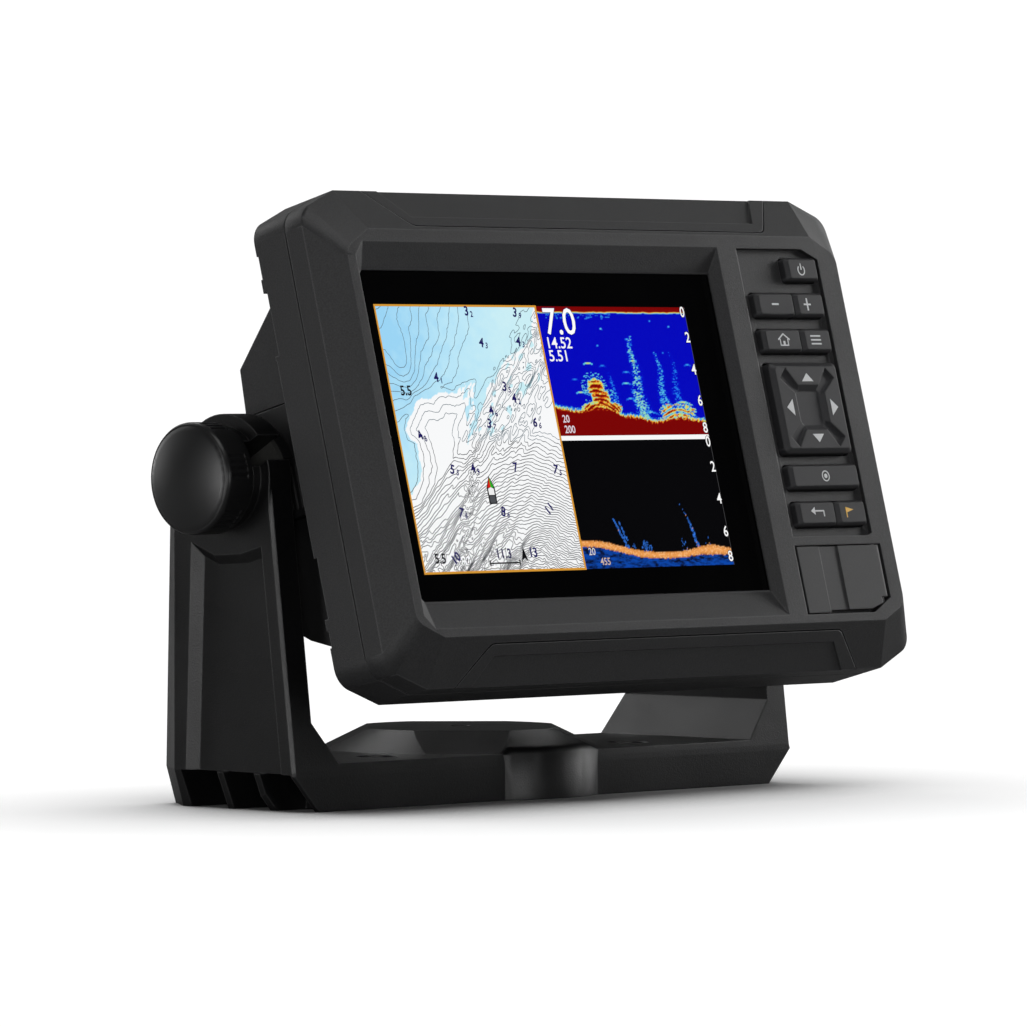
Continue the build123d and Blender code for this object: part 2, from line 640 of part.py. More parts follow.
# ------------------------------------------------------------ glass and LCD
GLASS_W, GLASS_H = OPENING_W + 4.2, OPENING_H + 4.4
with BuildPart() as cover_glass:
    blocks(
        head(Z_GLASS_BACK), (GLASS_W, GLASS_H), Z_GLASS_TOP - Z_GLASS_BACK, GLASS_C, corner=2.0
    )
save(cover_glass, "cover_glass")

with BuildPart() as glass_adhesive:
    with BuildSketch(head(Z_GLASS_TOP)):
        with Locations(GLASS_C):
            RectangleRounded(GLASS_W, GLASS_H, 2.0)
            RectangleRounded(GLASS_W - 3.8, GLASS_H - 4.0, 0.8, mode=CUT)
    extrude(amount=Z_GLASS_LIP - Z_GLASS_TOP)
save(glass_adhesive, "glass_adhesive")

with BuildPart() as lcd_panel:
    blocks(head(Z_LCD_BACK), (118, 73.5), 1.4, (LCD_X, -0.9), corner=0.8)
    blocks(head(Z_LCD_BACK + 1.4), (112, 69), 0.6, (LCD_X, 0.3), corner=0.6)
save(lcd_panel, "lcd_panel")

with BuildPart() as lcd_frame:
    blocks(
        head(Z_FRAME_BACK), (119, 84), Z_LCD_BACK - Z_FRAME_BACK, (LCD_X + 0.9, 3.2), corner=2.5
    )
    # three pockets in the back
    pockets = [(LCD_X + dx, 0) for dx in (-30, 0, 30)]
    blocks(head(Z_FRAME_BACK - 0.1), (24, 52), 2.2, *pockets, corner=3, mode=CUT)
    # standoffs for the main board
    discs(head(Z_BOARD_BACK + BOARD_T), 3.0, 2.3, *BOARD_XY)
    discs(head(Z_BOARD_BACK + BOARD_T - 0.1), 1.25, 4.0, *BOARD_XY, mode=CUT)
save(lcd_frame, "lcd_frame")

# --------------------------------------------------------------- main board
with BuildPart() as main_board:
    with BuildSketch(head(Z_BOARD_BACK)):
        with Locations((-18.0, 4.0)):
            RectangleRounded(124, 84, 2)
        with Locations(*BOARD_XY):
            Circle(1.5, mode=CUT)
    extrude(amount=BOARD_T)
    # components on the back
    blocks(head(Z_BOARD_BACK), (9, 7), -1.4, (6, -20), (20, -20), (-2, 10), (18, 4))
    blocks(head(Z_BOARD_BACK), (5, 5), -1.4, (-8, -8), (2, -8), (28, 16))
save(main_board, "main_board")


def screws(label, places, z, head_r, head_h, shank_r, shank_len, hex_r, hex_depth):
    """Set of hexagon-socket screws whose heads stand back from level z."""
    with BuildPart() as body:
        discs(head(z), head_r, -head_h, *places)
        discs(head(z), shank_r, shank_len, *places)
        with BuildSketch(head(z - head_h - 0.1)):
            with Locations(*places):
                RegularPolygon(hex_r, 6)
        extrude(amount=hex_depth, mode=CUT)
    save(body, label)


screws(
    "board_screws", BOARD_XY, Z_BOARD_BACK, head_r=2.3, head_h=1.5,
    shank_r=1.2, shank_len=5.0, hex_r=1.0, hex_depth=0.9,
)

with BuildPart() as shield_can:
    blocks(head(Z_BOARD_BACK), (38, 32), -3.2, SHIELD_C, corner=1.2)
    blocks(head(Z_BOARD_BACK), (37.2, 31.2), -2.9, SHIELD_C, corner=0.9, mode=CUT)
    # grid of small holes in the lid
    with BuildSketch(head(-14.5)):
        with Locations(SHIELD_C):
            with GridLocations(5, 5, 6, 5):
                Circle(0.6)
    extrude(amount=-1.5, mode=CUT)
save(shield_can, "shield_can")

with BuildPart() as gps_antenna:
    blocks(head(Z_BOARD_BACK), (22, 22), -4.0, ANTENNA_C, corner=0.8)
    blocks(head(Z_BOARD_BACK - 4.0), (17, 17), -0.2, ANTENNA_C)
save(gps_antenna, "gps_antenna")

with BuildPart() as buzzer:
    discs(head(Z_BOARD_BACK), 6.0, -4.5, BUZZER_C)
    discs(head(-16.6), 1.0, 3.0, BUZZER_C, mode=CUT)
save(buzzer, "buzzer")

# flat cable folded round the lower edge of the LCD frame: head y, head z
with BuildPart() as lcd_cable:
    prism(side(-36), [
        (-37.7, -4.3), (-41.0, -4.3), (-41.0, -12.3), (-30.0, -12.3), (-30.0, -12.0),
        (-38.2, -12.0), (-40.7, -12.0), (-40.7, -4.5), (-37.7, -4.5),
    ], 24)
save(lcd_cable, "lcd_cable")

# ------------------------------------------------------------------- keypad
with BuildPart() as keypad_board:
    blocks(head(Z_MEMBRANE_BACK - 1.6), (33.5, 75), 1.6, (65.5, 10.0), corner=1.5)
save(keypad_board, "keypad_board")

# flat cable to the main board: head x, head z on a plane facing down the face
with BuildPart() as keypad_cable:
    prism(
        Plane(
            origin=head_point(0, 2, 0), x_dir=(1, 0, 0), z_dir=(0, -TILT_SIN, -TILT_COS)
        ),
        [
            (54, -6.0), (47, -6.0), (43.6, -10.2), (38.2, -10.2),
            (38.2, -10.4), (43.75, -10.4), (47.1, -6.2), (54, -6.2),
        ],
        -14,
    )
save(keypad_cable, "keypad_cable")

with BuildPart() as keypad_membrane:
    blocks(head(Z_MEMBRANE_BACK), (33, 74.5), MEMBRANE_T, (65.5, 10.0), corner=1.5)
    # a raised cone under each key and under each arm of the pad
    key_centres = [((x0 + x1) / 2, (y0 + y1) / 2) for x0, x1, (y0, y1) in KEYS.values()]
    with BuildSketch(head(Z_MEMBRANE_BACK + MEMBRANE_T)):
        with Locations(*key_centres, *DPAD_STEMS):
            Circle(2.6)
    extrude(amount=0.62, taper=35)
    discs(head(-5), 1.6, 3, DPAD_C, mode=CUT)
save(keypad_membrane, "keypad_membrane")


def key_cap(label, x0, x1, y0, y1):
    """Key with bevelled crown, retaining flange and plunger."""
    x, y = centre = ((x0 + x1) / 2, (y0 + y1) / 2)
    width, height = x1 - x0 - 2 * KEY_GAP, y1 - y0 - 2 * KEY_GAP
    z_back = -1.5
    with BuildPart() as cap:
        blocks(head(z_back), (width, height), KEY_SHOULDER - z_back, centre, corner=0.8)
        with BuildSketch(head(KEY_SHOULDER)):
            with Locations(centre):
                RectangleRounded(width, height, 0.8)
        with BuildSketch(head(KEY_TOP)):
            with Locations((x + 0.1, y)):
                RectangleRounded(width - 1.9, height - 1.1, 0.6)
        loft(ruled=True)
        blocks(head(z_back), (width, height + 2 * KEY_GAP + 1.1), 0.8, centre)
        discs(head(z_back - 0.7), 1.5, 0.7, centre)
    save(cap, label)


for label, (x0, x1, (y0, y1)) in KEYS.items():
    key_cap(label, x0, x1, y0, y1)

ball_axis = Axis(head_point(DPAD_X, DPAD_Y, 0), (0, -TILT_COS, TILT_SIN))
with BuildPart() as dpad:
    blocks(head(-1.4), (DPAD_W, DPAD_H), 1.4 + 2.8, DPAD_C, corner=1.4)
    # bevelled crown, then the dished centre: z, width, height, corner radius
    for mode, stations in (
        (Mode.ADD, ((2.8, DPAD_W, DPAD_H, 1.4), (3.8, DPAD_W - 2.6, DPAD_H - 2.2, 1.0))),
        (CUT, ((3.81, 11.2, 11.6, 2.0), (2.7, 8.2, 8.6, 1.4))),
    ):
        for z, width, height, corner in stations:
            with BuildSketch(head(z)):
                with Locations(DPAD_C):
                    RectangleRounded(width, height, corner)
        loft(ruled=True, mode=mode)
    # four diagonal flutes
    with BuildSketch(head(2.95)):
        for angle in (45, 135, 225, 315):
            with Locations(Location(DPAD_C, angle)):
                with Locations((8.8, 0)):
                    Trapezoid(3.0, 6.6, 96, rotation=-90)
    extrude(amount=2, mode=CUT, taper=-22)
    # plungers and the ball socket underneath
    discs(head(-2.2), 1.4, 0.8, *DPAD_STEMS)
    socket_r = BALL_R + BALL_GAP
    with BuildSketch(side(DPAD_X)):
        with BuildLine():
            ThreePointArc(
                (DPAD_Y, BALL_Z - socket_r), (DPAD_Y + socket_r, BALL_Z),
                (DPAD_Y, BALL_Z + socket_r),
            )
            Line((DPAD_Y, BALL_Z + socket_r), (DPAD_Y, BALL_Z - socket_r))
        make_face()
    revolve(axis=ball_axis, mode=CUT)
    discs(head(-1.5), 1.35, 0.6, DPAD_C, mode=CUT)
save(dpad, "dpad")

# ball on a stem, under the middle of the pad
with BuildPart() as dpad_pivot:
    with BuildSketch(side(DPAD_X)):
        with BuildLine():
            ThreePointArc(
                (DPAD_Y, BALL_Z - BALL_R), (DPAD_Y + BALL_R, BALL_Z), (DPAD_Y, BALL_Z + BALL_R)
            )
            Line((DPAD_Y, BALL_Z + BALL_R), (DPAD_Y, BALL_Z - BALL_R))
        make_face()
    revolve(axis=ball_axis)
    discs(head(-3.6), 0.8, 3.2, DPAD_C)
save(dpad_pivot, "dpad_pivot")

# ---------------------------------------------------------------- card door
with BuildPart() as card_door:
    prism(head(0.9), [
        (DOOR_X0 + 0.8, DOOR_Y0 + DOOR_GAP), (DOOR_X0 + 0.8, DOOR_Y1 - DOOR_GAP),
        (HINGE_X, DOOR_Y1 - DOOR_GAP), (HINGE_X, -42.3), (78.5, -42.3), (78.5, -43.9),
        (74.2, DOOR_Y0 + 0.9), (58.6, DOOR_Y0 + 0.9), (58.6, DOOR_Y0 + DOOR_GAP),
    ], 1.6)
    # hinge knuckle and its pin hole
    discs(up_face(HINGE_X, -42.2, HINGE_Z), KNUCKLE_R, 42.2 + DOOR_Y1 - DOOR_GAP)
    discs(up_face(HINGE_X, -46, HINGE_Z), 0.65, 20, mode=CUT)
    # shallow rectangular dip in the front
    blocks(head(2.15), (7.0, 20), 1, (62.05, -37.4), mode=CUT)
save(card_door, "card_door")

with BuildPart() as door_seal:
    with BuildSketch(head(0.4)):
        with Locations((66.0, -37.4)):
            RectangleRounded(20, 13.6, 2)
            RectangleRounded(17.6, 12.4, 1.2, mode=CUT)
    extrude(amount=0.5)
save(door_seal, "door_seal")

with BuildPart() as door_pin:
    discs(up_face(HINGE_X, -44.2, HINGE_Z), 0.6, 16.4)
save(door_pin, "door_pin")

with BuildPart() as card_socket:
    blocks(head(-3.2), (5.2, 15.0), -14.4, CARD_C, corner=0.6)
    blocks(head(-3.2), (1.2, 11.6), -12.5, CARD_C, mode=CUT)
save(card_socket, "card_socket")

# ------------------------------------------------------------ case and gasket
# back corner notches: bottom, top, depth
SIDE_NOTCHES = (
    (43.5, 49.2, 0.8), (25.0, 40.3, 1.5), (-23.6, 24.0, 0.5),
    (-38.2, -23.6, 1.4), (-45.0, -41.0, 0.8),
)
with BuildPart() as rear_case:
    add(head_shell(
        Z_REAR + REAR_CHAMFER, Z_SEAM - SEAM_HALF_W,
        (
            (Z_REAR, outline(REAR_CHAMFER), CORNER_R),
            (Z_REAR + REAR_CHAMFER, outline(), CORNER_R),
        ),
        (
            (Z_SEAM - SEAM_HALF_W, outline(), CORNER_R),
            (Z_SEAM, outline(SEAM_DEPTH), CORNER_R),
        ),
    ))
    # upper bulge, sloping away at its top
    prism(side(-76), [
        (54.0, Z_REAR + 1), (54.0, Z_REAR), (29.5, -49.5), (18.2, -50.3), (18.2, Z_REAR + 1),
    ], 152)
    # lower bulge that seats in the cradle
    prism(side(-66), [
        (19, Z_REAR + 1), (19, Z_BACK_WALL), (-37.6, Z_BACK_WALL), (-40.0, Z_REAR + 1),
    ], 132)
    # cavities in the rim, the upper bulge and the lower bulge
    prism(head(Z_SEAM + 1), outline(RIM_WALL), -(1 + 8.3), mode=CUT)
    prism(side(-73.4), [
        (50.6, Z_REAR + 3), (50.6, Z_REAR), (28.4, -47.0), (20.6, -47.8), (20.6, Z_REAR + 3),
    ], 146.8, mode=CUT)
    prism(side(-63.4), [
        (21, Z_REAR + 3), (21, -27.4), (-35.2, -27.4), (-37.2, Z_REAR + 3),
    ], 126.8, mode=CUT)
    # screw columns, bored for the shanks and the heads
    discs(head(Z_REAR), 4.4, Z_SEAM - Z_REAR, *SCREW_XY)
    discs(head(Z_REAR - 1), 1.5, 14, *SCREW_XY, mode=CUT)
    discs(head(Z_REAR - 1), 3.1, 3.8, *SCREW_XY, mode=CUT)
    # groove for the gasket
    outline_ring(Z_SEAM - 1.0, 1.6, 2.9, 2, mode=CUT)
    # stepped notches along the rear edges of both sides
    for y0, y1, depth in SIDE_NOTCHES:
        y = (y0 + y1) / 2
        blocks(head(Z_REAR - 1), (2.8, y1 - y0), 1 + depth, (-92.4, y), (92.4, y), mode=CUT)
    # socket and vent openings in the back wall
    for centre, radius in ((POWER_C, 6.2), (SONAR_C, 8.2), (VENT_C, 2.0)):
        discs(head(-34), radius, 8, centre, mode=CUT)
save(rear_case, "rear_case")

with BuildPart() as case_gasket:
    outline_ring(Z_SEAM - 1.0, 1.7, 2.8, 1.0)
save(case_gasket, "case_gasket")

screws(
    "case_screws", SCREW_XY, -17.9, head_r=2.8, head_h=2.0,
    shank_r=1.4, shank_len=12.2, hex_r=1.3, hex_depth=1.3,
)

# ---------------------------------------------------------- vent and sockets
with BuildPart() as vent_plug:
    discs(head(Z_BACK_WALL), 3.4, -1.0, VENT_C)
    discs(head(Z_BACK_WALL), 1.95, 2.8, VENT_C)
    with BuildSketch(head(-31.2)):
        with Locations(VENT_C):
            with PolarLocations(2.0, 5):
                Circle(0.4)
    extrude(amount=0.9, mode=CUT)
save(vent_plug, "vent_plug")


def socket(label, centre, barrel_r, tail_r, pin_count, pin_circle_r):
    """Keyed round socket with a threaded-look barrel, and its contact pins."""
    x, y = centre
    pin_r = 0.5
    bore_r = barrel_r - 1.6
    with BuildPart() as body:
        # flange, barrel and three rings on the barrel
        discs(head(Z_BACK_WALL), barrel_r + 2.2, -1.6, centre)
        discs(head(Z_BACK_WALL), barrel_r, -11, centre)
        for i in range(3):
            discs(head(-33.5 - 2.2 * i), barrel_r + 0.5, -1.0, centre)
        # tail through the case wall
        discs(head(Z_BACK_WALL), tail_r, 4.5, centre)
        # bore, keyway and pin holes
        discs(head(-42), bore_r, 9, centre, mode=CUT)
        blocks(head(-42), (2.0, 1.6), 9, (x, y + bore_r), mode=CUT)
        with BuildSketch(head(-34)):
            with Locations(centre):
                with PolarLocations(pin_circle_r, pin_count):
                    Circle(pin_r)
        extrude(amount=9, mode=CUT)
    save(body, f"{label}_socket")
    with BuildPart() as pins:
        with BuildSketch(head(-38.5)):
            with Locations(centre):
                with PolarLocations(pin_circle_r, pin_count):
                    Circle(pin_r)
        extrude(amount=14.5)
    save(pins, f"{label}_pins")


socket("power", POWER_C, barrel_r=7.0, tail_r=6.0, pin_count=4, pin_circle_r=2.6)
socket("sonar", SONAR_C, barrel_r=9.0, tail_r=8.0, pin_count=8, pin_circle_r=4.6)
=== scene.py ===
# A marine chart plotter and echo sounder: a display head on its bracket, chart and echoes lit.
# The row frame is in metres with +Z up. The screen faces -Y, leaning back, and +X is to the
# right as a viewer sees it. Drawing on the head is in millimetres in the head's own axes.
import json
import math

import bmesh
import bpy
import numpy as np
from mathutils import Matrix, Vector


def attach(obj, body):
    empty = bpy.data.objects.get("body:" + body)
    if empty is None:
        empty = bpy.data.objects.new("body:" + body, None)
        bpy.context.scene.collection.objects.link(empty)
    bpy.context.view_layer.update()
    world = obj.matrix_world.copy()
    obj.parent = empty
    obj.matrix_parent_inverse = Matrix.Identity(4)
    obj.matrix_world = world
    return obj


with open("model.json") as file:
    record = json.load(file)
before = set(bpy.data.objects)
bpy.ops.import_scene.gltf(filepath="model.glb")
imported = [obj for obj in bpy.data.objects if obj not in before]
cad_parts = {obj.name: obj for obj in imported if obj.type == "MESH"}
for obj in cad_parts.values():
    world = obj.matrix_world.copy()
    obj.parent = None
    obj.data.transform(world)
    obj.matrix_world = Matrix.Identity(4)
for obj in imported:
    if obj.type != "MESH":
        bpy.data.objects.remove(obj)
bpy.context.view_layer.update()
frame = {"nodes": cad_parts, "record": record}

scene = bpy.context.scene

# ---------------------------------------------------------------- head axes
LEAN = math.radians(14.88)
HEAD_ORIGIN = Vector((0.0, -55.9, 88.09))  # mm
HEAD_X = Vector((1, 0, 0))
HEAD_Y = Vector((0, math.sin(LEAN), math.cos(LEAN)))  # up the face
HEAD_OUT = Vector((0, -math.cos(LEAN), math.sin(LEAN)))  # out of the face
DISPLAY_X = -23.93  # display centre, left of the head's centre
DISPLAY_Z = -0.77  # lit face, behind the head's origin plane


def head_point(x, y, z):
    """Head coordinates in mm to the row frame in metres."""
    return (HEAD_ORIGIN + HEAD_X * x + HEAD_Y * y + HEAD_OUT * z) * 0.001


def display_points(x, y, z):
    """Arrays of display x and y in mm, at head height z, to the row frame in metres."""
    base = np.array(HEAD_ORIGIN) + z * np.array(HEAD_OUT)
    across = (x + DISPLAY_X)[:, None] * np.array(HEAD_X)
    return (base[None] + across + y[:, None] * np.array(HEAD_Y)) * 0.001


# ------------------------------------------------------------- node helpers
def linear(*display_colour):
    """Display colour 0-255 to linear."""
    channels = [c / 255.0 for c in display_colour]
    return tuple(c / 12.92 if c <= 0.04045 else ((c + 0.055) / 1.055) ** 2.4 for c in channels)


def tinted(colour, gain):
    return tuple(min(1.0, c * gain) for c in colour)


def feed(tree, node, inputs):
    """Set inputs, given by name or index, to a value or to the socket that drives them."""
    for key, value in inputs.items():
        if isinstance(value, bpy.types.NodeSocket):
            tree.links.new(value, node.inputs[key])
        else:
            node.inputs[key].default_value = value


def add_node(tree, kind, inputs=None, **settings):
    node = tree.nodes.new("ShaderNode" + kind)
    for key, value in settings.items():
        setattr(node, key, value)
    feed(tree, node, inputs or {})
    return node


def new_tree(owner, output_kind):
    """Empty the node tree of a material or world and give it an output."""
    owner.use_nodes = True
    tree = owner.node_tree
    tree.nodes.clear()
    return tree, add_node(tree, output_kind)


def new_material(name):
    material = bpy.data.materials.new(name)
    tree, output = new_tree(material, "OutputMaterial")
    surface = add_node(tree, "BsdfPrincipled")
    feed(tree, output, {0: surface.outputs[0]})
    return material, tree, surface


def object_coords(tree):
    return add_node(tree, "TexCoord").outputs["Object"]


def ramp(tree, factor, low, high):
    """Two-stop colour ramp; each stop is (position, colour)."""
    node = add_node(tree, "ValToRGB")
    for stop, (position, colour) in zip(node.color_ramp.elements, (low, high)):
        stop.position = position
        stop.color = (*colour, 1.0)
    feed(tree, node, {0: factor})
    return node.outputs[0]


def noise(tree, coords, scale, detail=2.0, roughness=0.5, distortion=0.0):
    return add_node(tree, "TexNoise", {
        "Scale": scale, "Detail": detail, "Roughness": roughness, "Distortion": distortion,
        "Vector": coords}).outputs["Fac"]


def map_range(tree, value, source, target):
    return add_node(tree, "MapRange", {
        "From Min": source[0], "From Max": source[1], "To Min": target[0], "To Max": target[1],
        "Value": value}).outputs["Result"]


def mix_colours(tree, blend, factor, first, second):
    node = add_node(tree, "Mix", {0: factor, 6: first, 7: second},
                    data_type="RGBA", blend_type=blend)
    return node.outputs[2]


def bump(tree, height, strength, distance, normal=None):
    node = add_node(tree, "Bump", {"Strength": strength, "Distance": distance, "Height": height})
    if normal is not None:
        feed(tree, node, {"Normal": normal})
    return node.outputs[0]


def occlusion(tree, samples, distance):
    return add_node(tree, "AmbientOcclusion", {"Distance": distance}, samples=samples).outputs["AO"]


# ---------------------------------------------------------------- materials
def plastic(name, base, rough=0.5, grain=2600.0, depth=0.00004, strength=0.35, variation=0.14,
            bevel=0.0005, specular=0.5, edge=0.0):
    """Moulded plastic with a fine grain, faint speckle and uneven sheen.

    grain is the noise scale, depth and strength its relief, variation its colour swing.
    bevel rounds the edges in metres and edge paints a highlight on the open ones, their colour
    lightened to stand in for light caught there.
    """
    material, tree, surface = new_material(name)
    coords = object_coords(tree)
    fine = noise(tree, coords, scale=grain, detail=3.0, roughness=0.6)
    patches = noise(tree, coords, scale=35.0, detail=3.0, roughness=0.55)
    speckle = ramp(tree, fine, (0.30, tinted(base, 1 - variation)),
                   (0.70, tinted(base, 1 + variation)))
    tone = ramp(tree, patches, (0.3, (0.94, 0.94, 0.95)), (0.7, (1.05, 1.05, 1.05)))
    colour = mix_colours(tree, "MULTIPLY", 1.0, speckle, tone)
    sheen = map_range(tree, patches, source=(0.3, 0.7), target=(rough - 0.04, rough + 0.05))
    rounded = None
    if bevel:
        rounded = add_node(tree, "Bevel", {"Radius": bevel}, samples=4).outputs[0]
    if edge:
        # painted edge highlight: an edge is where the rounded normal turns away from the true one,
        # off any crevice, and its colour is lightened there
        flat = add_node(tree, "NewGeometry").outputs["Normal"]
        turning = add_node(tree, "VectorMath", {0: rounded, 1: flat}, operation="DOT_PRODUCT")
        line = map_range(tree, turning.outputs["Value"], source=(0.997, 0.955), target=(0.0, 1.0))
        exposure = occlusion(tree, samples=4, distance=0.0012)
        exposed = map_range(tree, exposure, source=(0.84, 0.97), target=(0.0, 1.0))
        edge_highlight_mask = add_node(tree, "Math", {0: line, 1: exposed}, operation="MULTIPLY").outputs[0]
        painted_edge_highlight = (*(c * (1 + edge) + 0.02 * edge for c in base), 1.0)
        colour = mix_colours(tree, "MIX", edge_highlight_mask, colour, painted_edge_highlight)
    feed(tree, surface, {
        "Base Color": colour, "Roughness": sheen, "Specular IOR Level": specular,
        "Normal": bump(tree, fine, strength, depth, rounded)})
    return material


def metal(name, base, rough):
    """Machined metal with fine turning lines."""
    material, tree, surface = new_material(name)
    stretched = add_node(tree, "Mapping", {
        "Scale": (6.0, 0.5, 0.5), "Vector": object_coords(tree)}).outputs[0]
    lines = noise(tree, stretched, scale=900.0, detail=4.0, roughness=0.6)
    feed(tree, surface, {
        "Base Color": ramp(tree, lines, (0.25, tinted(base, 0.8)), (0.75, tinted(base, 1.1))),
        "Metallic": 1.0,
        "Roughness": map_range(tree, lines, source=(0.2, 0.8), target=(rough - 0.08, rough + 0.12)),
        "Normal": bump(tree, lines, strength=0.2, distance=0.00002)})
    return material


def circuit_board(name, base):
    """Solder mask in small blocks with lighter lines between them."""
    material, tree, surface = new_material(name)
    blocks = add_node(tree, "TexBrick", {
        "Scale": 330.0,
        "Mortar Size": 0.03,
        "Color1": (*base, 1),
        "Color2": (*tinted(base, 0.8), 1),
        "Mortar": (base[0] * 1.8, base[1] * 1.6, base[2] * 1.6, 1),
        "Vector": object_coords(tree)})
    feed(tree, surface, {
        "Base Color": blocks.outputs["Color"],
        "Roughness": 0.35,
        "Normal": bump(tree, blocks.outputs["Fac"], strength=0.3, distance=0.00003)})
    return material


def cover_glass(name):
    """Black glass with faint smears in its polish and specks of dust."""
    material, tree, surface = new_material(name)
    coords = object_coords(tree)
    smears = noise(tree, coords, scale=22.0, detail=5.0, roughness=0.6, distortion=1.2)
    dust = noise(tree, coords, scale=5200.0, detail=1.0)
    feed(tree, surface, {
        "Base Color": ramp(tree, dust, (0.70, (0.0012, 0.0012, 0.0014)),
                           (0.86, (0.004, 0.004, 0.0045))),
        "Roughness": map_range(tree, smears, source=(0.3, 0.7), target=(0.05, 0.11)),
        "Specular IOR Level": 0.28})
    return material


def lit_screen(name):
    """Lit display face: the mesh's own colours, finely banded, under a gloss coat."""
    material, tree, surface = new_material(name)
    painted = add_node(tree, "Attribute", attribute_name="Col").outputs["Color"]
    bands = add_node(tree, "TexWave", {"Scale": 1180.0, "Vector": object_coords(tree)},
                     wave_type="BANDS", bands_direction="X").outputs["Fac"]
    banding = ramp(tree, bands, (0.0, (0.95, 0.95, 0.95)), (1.0, (1.02, 1.02, 1.02)))
    feed(tree, surface, {
        "Emission Color": mix_colours(tree, "MULTIPLY", 1.0, painted, banding),
        "Emission Strength": 1.0,
        "Base Color": (0.002, 0.002, 0.002, 1),
        "Roughness": 0.12,
        "Specular IOR Level": 0.2})
    return material


def ink(name, display_colour, glow):
    """Printed legend, faintly lit, in slightly uneven ink."""
    material, tree, surface = new_material(name)
    base = linear(*display_colour)
    uneven = noise(tree, object_coords(tree), scale=6000.0)
    colour = ramp(tree, uneven, (0.2, tinted(base, 0.9)), (0.8, tinted(base, 1.08)))
    feed(tree, surface, {
        "Base Color": colour, "Roughness": 0.45,
        "Emission Color": colour, "Emission Strength": glow})
    return material


# the coarser, more speckled grain shared by the case and the bracket, with a painted highlight along
# their open edges
COARSE = dict(bevel=0.0005, variation=0.42, strength=1.0, depth=0.00006, edge=1.6)

slot_materials = {
    "case": plastic("case_plastic", linear(37, 37, 38), rough=0.50, **COARSE),
    "trim": plastic("trim_plastic", linear(39, 39, 40), rough=0.50, bevel=0.0003,
                    variation=0.30, strength=0.7, depth=0.00006, edge=1.0),
    "bracket": plastic("bracket_plastic", linear(15, 15, 16), rough=0.35, **COARSE),
    "cradle": plastic("cradle_plastic", linear(22, 22, 23), rough=0.52),
    "knob": plastic("knob_plastic", linear(20, 20, 21), rough=0.35, grain=3400.0,
                    strength=0.2, bevel=0.0003),
    "latch": plastic("latch_plastic", linear(30, 30, 31), rough=0.48),
    "keys": plastic("key_rubber", linear(45, 45, 47), rough=0.50, grain=3800.0,
                    strength=0.15, specular=0.4),
    "door": plastic("door_plastic", linear(47, 47, 48), rough=0.48, bevel=0.0004),
    "glass": cover_glass("cover_glass_black"),
    "seal": plastic("seal_rubber", linear(28, 28, 28), rough=0.7, bevel=0),
    "membrane": plastic("membrane_silicone", linear(110, 112, 115), rough=0.5, bevel=0),
    "washer": plastic("washer_nylon", linear(70, 70, 68), rough=0.45, bevel=0),
    "steel": metal("stainless_steel", (0.55, 0.55, 0.56), rough=0.28),
    "frame_metal": metal("pressed_aluminium", (0.62, 0.63, 0.65), rough=0.38),
    "brass": metal("brass", (0.72, 0.50, 0.20), rough=0.30),
    "contact": metal("gold_plate", (0.85, 0.62, 0.25), rough=0.22),
    "board": circuit_board("circuit_board", (0.015, 0.11, 0.05)),
    "antenna": plastic("antenna_ceramic", linear(205, 195, 170), rough=0.55, bevel=0),
    "flex": plastic("flex_film", linear(170, 110, 40), rough=0.3, bevel=0),
    "socket": plastic("socket_plastic", linear(34, 34, 35), rough=0.3, strength=0.1,
                      bevel=0.0002),
    "vent": plastic("vent_plastic", linear(60, 60, 60), rough=0.5, bevel=0),
    "display": plastic("lcd_polariser", linear(40, 44, 60), rough=0.2, strength=0.05, bevel=0),
}
slot_materials["adhesive"] = slot_materials["seal"]
SCREEN = lit_screen("lit_screen")
LEGEND = ink("legend_grey", (205, 207, 208), glow=0.10)
AMBER = ink("legend_amber", (222, 176, 78), glow=0.12)

WELD_DISTANCE = 0.000002  # m, joins only coincident points

slot_of = {part["node"]: part["material_slot"] for part in frame["record"]["subparts"]}
for name, piece in frame["nodes"].items():
    piece.data.materials.clear()
    piece.data.materials.append(slot_materials[slot_of[name]])
    piece.modifiers.new("weld", "WELD").merge_threshold = WELD_DISTANCE
    piece.modifiers.new("normals", "WEIGHTED_NORMAL").keep_sharp = True


# ------------------------------------------------------------- mesh helpers
def add_object(name, mesh, material, body):
    obj = bpy.data.objects.new(name, mesh)
    scene.collection.objects.link(obj)
    mesh.materials.append(material)
    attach(obj, body)


def add_lit_mesh(name, mesh, colours):
    """Colour a mesh point by point and set it on the display."""
    rgba = np.ones((len(colours), 4), np.float32)
    rgba[:, :3] = colours
    attribute = mesh.color_attributes.new("Col", "FLOAT_COLOR", "POINT")
    attribute.data.foreach_set("color", rgba.ravel())
    add_object(name, mesh, SCREEN, "head")


def add_lit_polygons(name, vertices, faces, colours):
    mesh = bpy.data.meshes.new(name)
    mesh.from_pydata([tuple(vertex) for vertex in vertices], [], faces)
    mesh.update()
    add_lit_mesh(name, mesh, colours)


